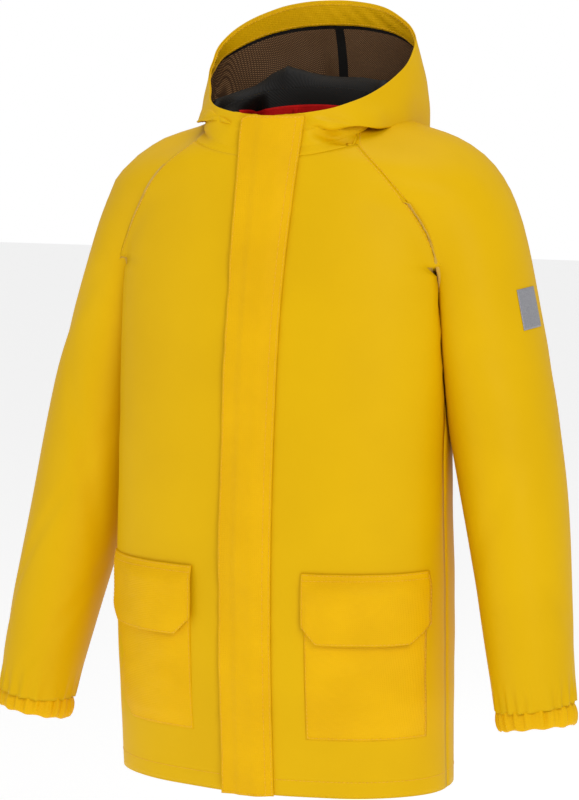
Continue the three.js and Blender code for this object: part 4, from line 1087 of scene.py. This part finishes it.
for side, sign in (("left", 1), ("right", -1)):
    waves, small = Waves(75), Waves(30)
    v, u = share_grid(60, 46)
    z = mix(POCKET_TOP_Z - POCKET_HEIGHT, POCKET_TOP_Z, v)
    x = POCKET_X + u * POCKET_WIDTH
    place = np.stack([x, 0 * x, z], -1)
    relief = (waves(place) + 0.35 * small(place)) * np.sin(np.pi * u) ** 0.5 * smooth(0, 0.2, v)
    flatten = FLATTEN[side]
    p, n = pocket_place(x, z, bag_stand(u, v, flatten) + relief)
    if sign < 0:
        p, n = mirrored(p), mirrored(n)
    n = grid_normals(p, n)
    piece = cloth(f"pocket_cloth_{side}", p, n, WOVEN, BACKING, BAG_THICKNESS)
    sew_sheet(piece, "shell", [f"pocket_bag_{side}"])
    bag_lines = [line_in(p, n, edge, TRIM_INSET) for edge in ("first", "last", "bottom")]
    sew(stitches(f"pocket_stitches_{side}", bag_lines, THREAD), "shell")

    v, u = share_grid(40, 46)
    z = POCKET_FLAP_TOP_Z - POCKET_FLAP_DEPTH * (1 - v)
    cut = POCKET_FLAP_CORNER * np.clip(1 - v / CORNER_SHARE, 0, 1)
    low_x = POCKET_X - POCKET_FLAP_OVERLAP + cut
    high_x = POCKET_X + POCKET_WIDTH + POCKET_FLAP_OVERLAP / 2 - cut
    x = mix(low_x, high_x, u)
    bag = np.clip((x - POCKET_X) / POCKET_WIDTH, 0, 1)
    over = (bag_stand(bag, 1.0, flatten) - BAG_BASE) * smooth(1.0, 0.72, v)
    relief = 0.9 * waves(np.stack([x, 0 * x + 50, z], -1)) + 0.3 * small(np.stack([x, 0 * x, z], -1))
    relief = relief * smooth(1.0, 0.8, v)
    p, n = pocket_place(x, z, POCKET_FLAP_BASE + POCKET_FLAP_EASE * smooth(1.0, 0.8, v) + over + relief)
    if sign < 0:
        p, n = mirrored(p), mirrored(n)
    n = grid_normals(p, n)
    piece = cloth(f"pocket_flap_cloth_{side}", p, n, WOVEN, WOVEN, POCKET_FLAP_THICKNESS)
    sew_sheet(piece, None, [f"pocket_flap_{side}"])
    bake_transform(piece)
    insets = (("first", TRIM_INSET), ("last", TRIM_INSET), ("bottom", TRIM_INSET), ("top", TOP_INSETS[0]),
              ("top", TOP_INSETS[1]))
    flap_edges = [line_in(p, n, edge, inset) for edge, inset in insets]
    line = stitches(f"pocket_flap_stitches_{side}", flap_edges, THREAD)
    sew(line, None)
    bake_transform(line)

    snap_z = np.array([[POCKET_FLAP_TOP_Z - POCKET_SNAP_DROP]])
    snap_x = np.array([[POCKET_X + POCKET_WIDTH / 2.0]])
    share = (snap_z - POCKET_TOP_Z + POCKET_HEIGHT) / POCKET_HEIGHT
    half = np.array([[0.5]])
    p, n = pocket_place(snap_x, snap_z, bag_stand(half, share, flatten) + POCKET_STUD_STAND)
    cap_stand = POCKET_FLAP_BASE + POCKET_FLAP_EASE + POCKET_SOCKET_STAND
    q, m = pocket_place(snap_x, snap_z, bag_stand(half, 1.0, flatten) + cap_stand)
    if sign < 0:
        p, n, q, m = mirrored(p), mirrored(n), mirrored(q), mirrored(m)
    flat_stud = [(r, min(h, 0.6)) for r, h in STUD]
    sew(lathe(f"pocket_snap_{side}", flat_stud, [(p[0, 0], n[0, 0])], METAL), "shell",
        [f"pocket_stud_{side}"])
    shallow = [(r, h * 0.7) for r, h in SOCKET]
    sew(lathe(f"pocket_snap_cap_{side}", shallow, [(q[0, 0], m[0, 0])], METAL), f"pocket_flap_{side}",
        [f"pocket_socket_{side}"])

# ---- Hood ---------------------------------------------------------------------------------------------------
NECK_CURVE = [(0, 97, 3.5), (60, 88, 0), (93, 62, -5), (101, 22, -8), (99, -20, -14), (72, -65, -24),
              (40, -76.5, -30.5), (9, -80, -32.5)]
FOLD_CURVE = [(0, 186, -28), (86, 170, -28), (133, 126, -26), (137, 70, -18), (121, 12, -14),
              (106, -38, -15), (76, -68, -12), (9, -76, -8)]
RIM_CURVE = [(0, 152, 146), (72, 138, 136), (122, 102, 104), (126, 58, 70), (108, 10, 42),
             (80, -43, 24), (44, -65, 16), (9, -68.5, 13)]
STAND_HEIGHT = 56
BAG_FADE = (0.6, 0.9)       # shares of the way to the front over which the bag fades to a plain collar
INNER_FADE = (0.34, 0.62)   # and over which its inner fold does
LINING_V = 0.4              # black up to here, brown above
BRIM_V = 0.95

# The slouch: ways are shares of the distance out from the neck to the fold or on to the rim
STAND_SHARE = 0.72
FRONT_LOWERING = 0.45       # the stand is this much lower at the sides than at the back
TOP_WAY = 0.16
DOWN_WAY, DOWN_DROP = 0.52, 0.42
IN_FOLD_WAY, IN_FOLD_RISE = 0.82, 5
OUT_FOLD_RISE = 12
WALL_WAY, WALL_FULLNESS = 0.52, 0.62
INNER_STATIONS = 5
# On the wearer's right the bag's lower fold is drawn in and up
DRAWN_V, DRAWN_SPREAD = 0.6, 0.1
DRAWN_IN, DRAWN_UP = 0.05, 9


def through(points, t):
    """Centripetal Catmull-Rom curves through the points of the last axis but one; spans share t equally."""
    p = np.concatenate([2 * points[..., :1, :] - points[..., 1:2, :], points,
                        2 * points[..., -1:, :] - points[..., -2:-1, :]], axis=-2)
    s = np.clip(t, 0, 1) * (points.shape[-2] - 1)
    i = np.minimum(s.astype(int), points.shape[-2] - 2)
    u = (s - i)[:, None]
    a, b, c, d = p[..., i, :], p[..., i + 1, :], p[..., i + 2, :], p[..., i + 3, :]

    def knot(x, y):
        return np.maximum(np.linalg.norm(y - x, axis=-1, keepdims=True) ** 0.5, 1e-3)

    k0, k1, k2 = knot(a, b), knot(b, c), knot(c, d)
    leave = ((b - a) / k0 - (c - a) / (k0 + k1) + (c - b) / k1) * k1
    arrive = ((c - b) / k1 - (d - b) / (k1 + k2) + (d - c) / k2) * k1
    return (2 * u**3 - 3 * u**2 + 1) * b + (u**3 - 2 * u**2 + u) * leave + (3 * u**2 - 2 * u**3) * c \
        + (u**3 - u**2) * arrive


def rail(curve, s):
    half = np.array(curve, float)
    whole = np.vstack([half[:0:-1] * [-1, 1, 1], half])
    return through(whole, 0.5 + s / 2)


def hood_grid(s, v):
    """The hood's cloth: s runs round the neck from the back, v from the neck seam over to the rim."""
    near = np.abs(s)
    neck, fold, rim = rail(NECK_CURVE, near), rail(FOLD_CURVE, near), rail(RIM_CURVE, near)
    bag = 1 - smooth(BAG_FADE[0], BAG_FADE[1], near)[:, None]
    inner = 1 - smooth(INNER_FADE[0], INNER_FADE[1], near)[:, None]

    def level(p, z):
        return np.concatenate([p[:, :2], np.reshape(z, (-1, 1))], axis=1)

    height = STAND_HEIGHT * (1 - FRONT_LOWERING * smooth(0.08, 0.5, near))
    stand = neck + np.stack([0 * height, 0 * height, height * STAND_SHARE], -1)
    top = level(mix(neck, fold, TOP_WAY), neck[:, 2] + height)
    down = level(mix(neck, fold, DOWN_WAY), mix(neck[:, 2] + height, fold[:, 2], DOWN_DROP))
    in_fold = level(mix(neck, fold, IN_FOLD_WAY), fold[:, 2] + IN_FOLD_RISE)
    out_fold = fold + [0, 0, OUT_FOLD_RISE]
    upright = level(fold, mix(fold[:, 2], rim[:, 2], 0.5))
    wall = mix(mix(fold, rim, WALL_WAY), upright, WALL_FULLNESS)
    stations = [neck, stand, top, down, in_fold, out_fold, wall, rim]
    last = len(stations) - 1
    shaped = np.stack([mix(mix(neck, rim, i / last), station, inner if i < INNER_STATIONS else bag)
                       for i, station in enumerate(stations)], axis=1)
    p = through(shaped, v)
    drawn = np.exp(-((v - DRAWN_V) / DRAWN_SPREAD) ** 2)[None]
    drawn = drawn * smooth(-0.2, -0.5, s)[:, None] * smooth(-0.9, -0.75, s)[:, None]
    p[..., 0] *= 1 - DRAWN_IN * drawn
    p[..., 2] += DRAWN_UP * drawn
    p[..., 0] *= np.where(s < 0, -1, 1)[:, None]
    return p.swapaxes(0, 1)


hood_waves = Waves(120)
hood_small = Waves(42)


def ridge_along(p, start, end, width):
    """1 on a line between two places and falling to 0 within a width of it."""
    line = np.array(end, float) - np.array(start, float)
    share = np.clip((p - start) @ line / (line @ line), 0, 1)
    away = np.linalg.norm(p - start - share[..., None] * line, axis=-1)
    return np.exp(-((away / width) ** 2))


def hood_relief(p, s, v):
    """Slack of the slouched hood: buckles outside, upright folds in the lining, a pinch at each side."""
    inside = smooth(0.12, 0.25, v) * smooth(0.62, 0.5, v)
    outside = smooth(0.5, 0.66, v) * smooth(1.0, 0.86, v)
    back_half = smooth(0.52, 0.36, np.abs(s))
    pleats = np.sin(17 * s + 1.1 * np.sin(7 * s + 0.6)) + 0.5 * np.sin(31 * s + 2.0)
    ridge = np.exp(-((v - 0.27) / 0.1) ** 2) * (np.abs(np.sin(9.5 * s + 0.9)) ** 0.7 - 0.5)
    crease = np.abs(np.sin(8.5 * s + 0.5 + 0.7 * np.sin(5 * s))) ** 0.4 - 0.7
    drape = smooth(0.5, 0.72, v) * smooth(0.96, 0.82, v) * back_half
    pinch = 9.0 * ridge_along(p, (60, -68, 8), (104, -42, -8), 6) \
        - 7.0 * ridge_along(p, (62, -70, -6), (108, -36, -20), 6) \
        + 3.0 * ridge_along(mirrored(p), (70, -62, 6), (100, -36, -6), 8)
    return 1.6 * outside * hood_waves(p) + 0.5 * hood_small(p) * smooth(0.15, 0.3, v) + 1.4 * inside * pleats \
        + 11.0 * ridge * back_half - 13.0 * drape * crease + pinch


HOOD_COLUMNS = 190
hood_s = np.linspace(-1, 1, HOOD_COLUMNS + 1)
NECK_MIDDLE = np.array([0.0, 15.0])


def way_round(p):
    """Direction of a place seen from above from the middle of the neck: 0 at the back, pi at the front."""
    return np.arctan2(np.abs(p[..., 0]), p[..., 1] - NECK_MIDDLE[1])


over_shoulder = edges["sleeve"][(way_round(edges["sleeve"]) > way_round(edges["back"]).max())
                                & (way_round(edges["sleeve"]) < way_round(edges["front"]).min())]
neckline = np.vstack([edges["front"], over_shoulder, edges["back"]])
neckline = neckline[np.argsort(way_round(neckline))]


def neck_seam(p):
    """The place on the edge of the body's neck in the same direction as each point."""
    turn = way_round(p)
    found = np.stack([np.interp(turn, way_round(neckline), neckline[:, k]) for k in range(3)], -1)
    found[..., 0] = np.where(p[..., 0] < 0, -found[..., 0], found[..., 0])
    return found


HOOD_V = 0.13               # the hood's cloth starts here; below it is the stand
SEAM_EASE_V = 0.13          # and up to here the stand bends to meet the panels


def hood_piece(v0, v1, rows, s=hood_s):
    """A band of the hood between two ways up, eased on to the neck seam, with its relief and normals."""
    vs = np.linspace(v0, v1, rows + 1)
    p = hood_grid(s, vs)
    seam = hood_grid(s, np.array([0.0]))[0]
    p = p + (neck_seam(seam) - seam)[None] * smooth(SEAM_EASE_V, 0.0, vs)[:, None, None]
    grid_v, grid_s = np.meshgrid(vs, s, indexing="ij")
    n = unit(np.cross(np.gradient(p, axis=0), np.gradient(p, axis=1)))
    relief = hood_relief(p, grid_s, grid_v) * smooth(1.0, 0.9, np.abs(grid_s))
    p = p + n * relief[..., None]
    n = unit(np.cross(np.gradient(p, axis=0), np.gradient(p, axis=1)))
    return p, n


def outward(p, n):
    """Turns normals so that they face out of the rim's wall."""
    wall = n[-1, len(hood_s) // 4]
    side = p[-1, len(hood_s) // 4] - np.array([0, 40, p[-1, len(hood_s) // 4][2]])
    return n if (wall * side).sum() > 0 else -n


HOOD_ROWS = 120
SEAM_TAPE_S = 0.006         # half width of the black tape over the lining's middle seam
BINDING_V = 0.011           # depth of the black binding along the lining's edge
FACED_S = 0.48              # in front of this the collar is faced with its own cloth
hood_p, hood_n = hood_piece(HOOD_V, 1.0, HOOD_ROWS)
hood_n = outward(hood_p, hood_n)
hood = cloth("hood_cloth", hood_p, hood_n, SHELL, BROWN_MESH, CLOTH)
for material in (SHELL, BLACK_MESH, SHELL, SHELL):
    hood.data.materials.append(material)
cell_v = np.repeat(np.linspace(HOOD_V, 1.0, HOOD_ROWS, endpoint=False), HOOD_COLUMNS)
cell_s = np.tile(hood_s[:-1] + 1 / HOOD_COLUMNS, HOOD_ROWS)
dark = (cell_v < LINING_V) | (np.abs(cell_s) < SEAM_TAPE_S) | (cell_v > BRIM_V - BINDING_V)
self_faced = (np.abs(cell_s) > FACED_S) & (cell_v > 0.25) & (cell_v < 0.8)
plain = (cell_v > BRIM_V + 0.005) | self_faced
hood.data.polygons.foreach_set("material_index", np.where(plain, 4, np.where(dark, 2, 0)).astype(np.int32))
hood_nodes = ["hood_left", "hood_right", "collar_front_left", "collar_front_right", "hood_lining_left",
              "hood_lining_right"]
sew_sheet(hood, None, hood_nodes)
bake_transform(hood)

FACING_TOP_V = 0.996
FACING_ROWS = 12
FACING_STAND = 1.6
RUCK_WAY = np.array([0.32, 0.2, 0.36])      # radians per mm
RUCK_DEPTH = 0.9
facing_p, facing_n = hood_piece(BRIM_V, FACING_TOP_V, FACING_ROWS)
facing_n = -outward(facing_p, facing_n)
ruck = np.sin(facing_p @ RUCK_WAY) * np.sin(np.linspace(0, np.pi, FACING_ROWS + 1))[:, None]
facing_p = facing_p + facing_n * (CLOTH + FACING_STAND + RUCK_DEPTH * ruck)[..., None]
facing = cloth("brim_facing", facing_p, facing_n, WOVEN, WOVEN, FACING_THICKNESS)
sew_sheet(facing, None, ["hood_brim_left", "hood_brim_right"])
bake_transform(facing)
brim_lines = [line_in(facing_p, facing_n, side, FOLD_INSET) for side in ("bottom", "top")]
brim_thread = stitches("brim_stitches", brim_lines, THREAD)
sew(brim_thread, None)
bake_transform(brim_thread)

STAND_TOP_V = 0.135
STAND_FACED_S = 0.5
STAND_ALLOWANCE = (5.0, 2.6)
stand_p, stand_n = hood_piece(0.0, STAND_TOP_V, 16)
from_middle = (stand_p - [0.0, NECK_MIDDLE[1], 0.0]) * [1, 1, 0]
stand_n = np.where((stand_n * from_middle).sum(-1, keepdims=True) < 0, -stand_n, stand_n)
stand_p = tuck_under(stand_p, stand_n, *STAND_ALLOWANCE)
stand_n = np.vstack([stand_n[:2], stand_n])
stand = cloth("stand_cloth", stand_p, stand_n, SHELL, BLACK_MESH, CLOTH)
stand.data.materials.append(SHELL)
stand.data.materials.append(SHELL)
self_faced = np.tile(np.abs(hood_s[:-1]) > STAND_FACED_S, len(stand_p) - 1)
stand.data.polygons.foreach_set("material_index", np.where(self_faced, 2, 0).astype(np.int32))
sew_sheet(stand, "shell", ["neck_stand"])

# ---- Neck tape, label, hanger loop and sleeve label ---------------------------------------------------------
TAPE_HALF_S = 0.3
TAPE_V = (0.025, 0.06)
TAPE_STAND_IN = 2.6
NECK_HOLLOW = np.array([0.0, 30.0, 10.0])   # a place inside the neck, which the tape faces
tape_p, tape_n = hood_piece(*TAPE_V, 4, np.linspace(-TAPE_HALF_S, TAPE_HALF_S, 61))
facing_in = (tape_n * (NECK_HOLLOW - tape_p)).sum(-1, keepdims=True) > 0
tape_n = np.where(facing_in, tape_n, -tape_n)
tape_p = tape_p + tape_n * TAPE_STAND_IN
tape = cloth("neck_tape_cloth", tape_p, tape_n, RED_TAPE, RED_TAPE, TAPE_THICKNESS)
sew_sheet(tape, "shell", ["neck_tape"])

NECK_LABEL_WIDTH = 64
NECK_LABEL_Z = (-52, -6)
NECK_LABEL_STAND = 4.4
v, u = share_grid(16, 24)
x = (u - 0.5) * NECK_LABEL_WIDTH
p, _ = by_face(np.abs(x), mix(*NECK_LABEL_Z, v), True)
p[..., 0] = x
p[..., 1] -= NECK_LABEL_STAND
n = np.broadcast_to([0.0, -1.0, 0.0], p.shape)
label = cloth("neck_label_cloth", p, n, DARK_TAPE, DARK_TAPE, LABEL_THICKNESS)
sew_sheet(label, "shell", ["neck_label"])

LOOP = [(-27, 15), (-27.5, 2), (-25, -1), (25, -1), (27.5, 2), (27, 15)]    # X and Z of the strap's middle
LOOP_Y = 87.6
STRAP_HALF_WIDTH = 3
loop_line = catmull([(x, 0, z) for x, z in LOOP], np.linspace(0, 1, 80))
loop_line[:, 1] = LOOP_Y + 0.5 * np.sin(loop_line[:, 0] / 9)
lead = unit(np.gradient(loop_line, axis=0))
across = np.cross(lead, [0.0, 1.0, 0.0])
p = np.stack([loop_line + across * w for w in np.linspace(-STRAP_HALF_WIDTH, STRAP_HALF_WIDTH, 5)], axis=0)
n = np.broadcast_to([0.0, -1.0, 0.0], p.shape)
loop = cloth("loop_cloth", p, n, RED_TAPE, RED_TAPE, STRAP_THICKNESS)
sew(loop, "hanger_loop", ["hanger_loop"])

PATCH_T = (0.292, 0.362)    # shares of the arm
PATCH_ANGLES = (2.55, 3.15)
PATCH_STAND = 0.9


def on_sleeve(t, angle, stand):
    """Places on the wearer's left sleeve as it hangs, given by share of the arm and angle round it."""
    columns = np.arange(ARM_COLUMNS)
    column = np.interp(angle, arm_angle[-1], columns)
    start_t = np.interp(column, columns, arm_t[SHOULDER_STEPS])
    row = SHOULDER_STEPS + (t - start_t) / (1 - start_t) * ARM_ROWS
    r, c = row.astype(int), column.astype(int)
    a, b = (row - r)[..., None], (column - c)[..., None]
    found = [mix(mix(g[r, c], g[r, c + 1], b), mix(g[r + 1, c], g[r + 1, c + 1], b), a) for g in left_sleeve]
    return found[0] + unit(found[1]) * stand, unit(found[1])


v, u = share_grid(18, 24)
p, n = on_sleeve(mix(*PATCH_T, v), mix(*PATCH_ANGLES, u), PATCH_STAND)
patch = cloth("sleeve_patch", p, n, REFLECTOR, DARK_TAPE, PATCH_THICKNESS)
sew_sheet(patch, "sleeve_left", ["sleeve_label"])

METAL_EDGE = 0.35
for name in ("zip_slider", "zip_pull", "zip_bottom_stop"):
    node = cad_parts[name]
    node.data.materials.clear()
    node.data.materials.append(METAL)
    soften = node.modifiers.new("edges", "BEVEL")
    soften.width = METAL_EDGE * MM
    soften.segments = 3

# ---- Stage, light and camera --------------------------------------------------------------------------------
FLOOR_Z = -1.35             # metres, like all the lengths below
FLOOR_HALF = 14
floor_corners = [(x * FLOOR_HALF, y * FLOOR_HALF, FLOOR_Z) for x, y in ((-1, -1), (1, -1), (1, 1), (-1, 1))]
floor_mesh = bpy.data.meshes.new("studio_floor")
floor_mesh.from_pydata(floor_corners, [], [(0, 1, 2, 3)])
floor = bpy.data.objects.new("studio_floor", floor_mesh)
bpy.context.scene.collection.objects.link(floor)
white_floor = surface("white_floor", Base_Color=rgb("#F4F4F4"), Roughness=0.9,
                      Emission_Color=(1.0, 1.0, 1.0, 1.0), Emission_Strength=0.42)[0]
floor_mesh.materials.append(white_floor)


def soft_light(name, place, width, power):
    """A round area light that looks at the middle of the jacket."""
    lamp = bpy.data.lights.new(name, "AREA")
    lamp.shape = "DISK"
    lamp.size = width
    lamp.energy = power
    light = bpy.data.objects.new(name, lamp)
    light.location = place
    light.rotation_mode = "QUATERNION"
    light.rotation_quaternion = (AIM - Vector(place)).to_track_quat("-Z", "Y")
    bpy.context.scene.collection.objects.link(light)


AIM = Vector((0, 0, -0.35))
soft_light("key", (2.4, -3.0, 1.8), 2.2, 62)
soft_light("fill", (-3.0, -2.4, 0.4), 2.4, 14)
soft_light("top", (0.0, 0.3, 2.8), 2.2, 26)

world = bpy.data.worlds.new("studio")
bpy.context.scene.world = world
world.use_nodes = True
world.node_tree.nodes.clear()
seen = add_node(world.node_tree, "ShaderNodeLightPath")
strength = add_node(world.node_tree, "ShaderNodeMix", {"data_type": "FLOAT"},
                    {"Factor": seen.outputs["Is Camera Ray"]}, A=0.5, B=1.0)
sky = add_node(world.node_tree, "ShaderNodeBackground", links={"Strength": strength.outputs["Result"]},
               Color=(1.0, 1.0, 1.0, 1.0))
add_node(world.node_tree, "ShaderNodeOutputWorld", links={"Surface": sky.outputs["Background"]})

AZIMUTH = math.radians(22)
ELEVATION = math.radians(7.3)
TARGET = Vector((0, 0, -0.33))
DISTANCE = 3.7
LENS, SENSOR = 138.75, 36   # millimetres
back_way = Vector((math.sin(AZIMUTH) * math.cos(ELEVATION), -math.cos(AZIMUTH) * math.cos(ELEVATION),
                   math.sin(ELEVATION)))
camera_data = bpy.data.cameras.new("camera")
camera_data.lens = LENS
camera_data.sensor_width = SENSOR
camera = bpy.data.objects.new("camera", camera_data)
camera.location = TARGET + back_way * DISTANCE
camera.rotation_mode = "QUATERNION"
camera.rotation_quaternion = (-back_way).to_track_quat("-Z", "Y")
bpy.context.scene.collection.objects.link(camera)
bpy.context.scene.camera = camera
bpy.context.scene.view_settings.view_transform = "Standard"

bpy.context.view_layer.update()
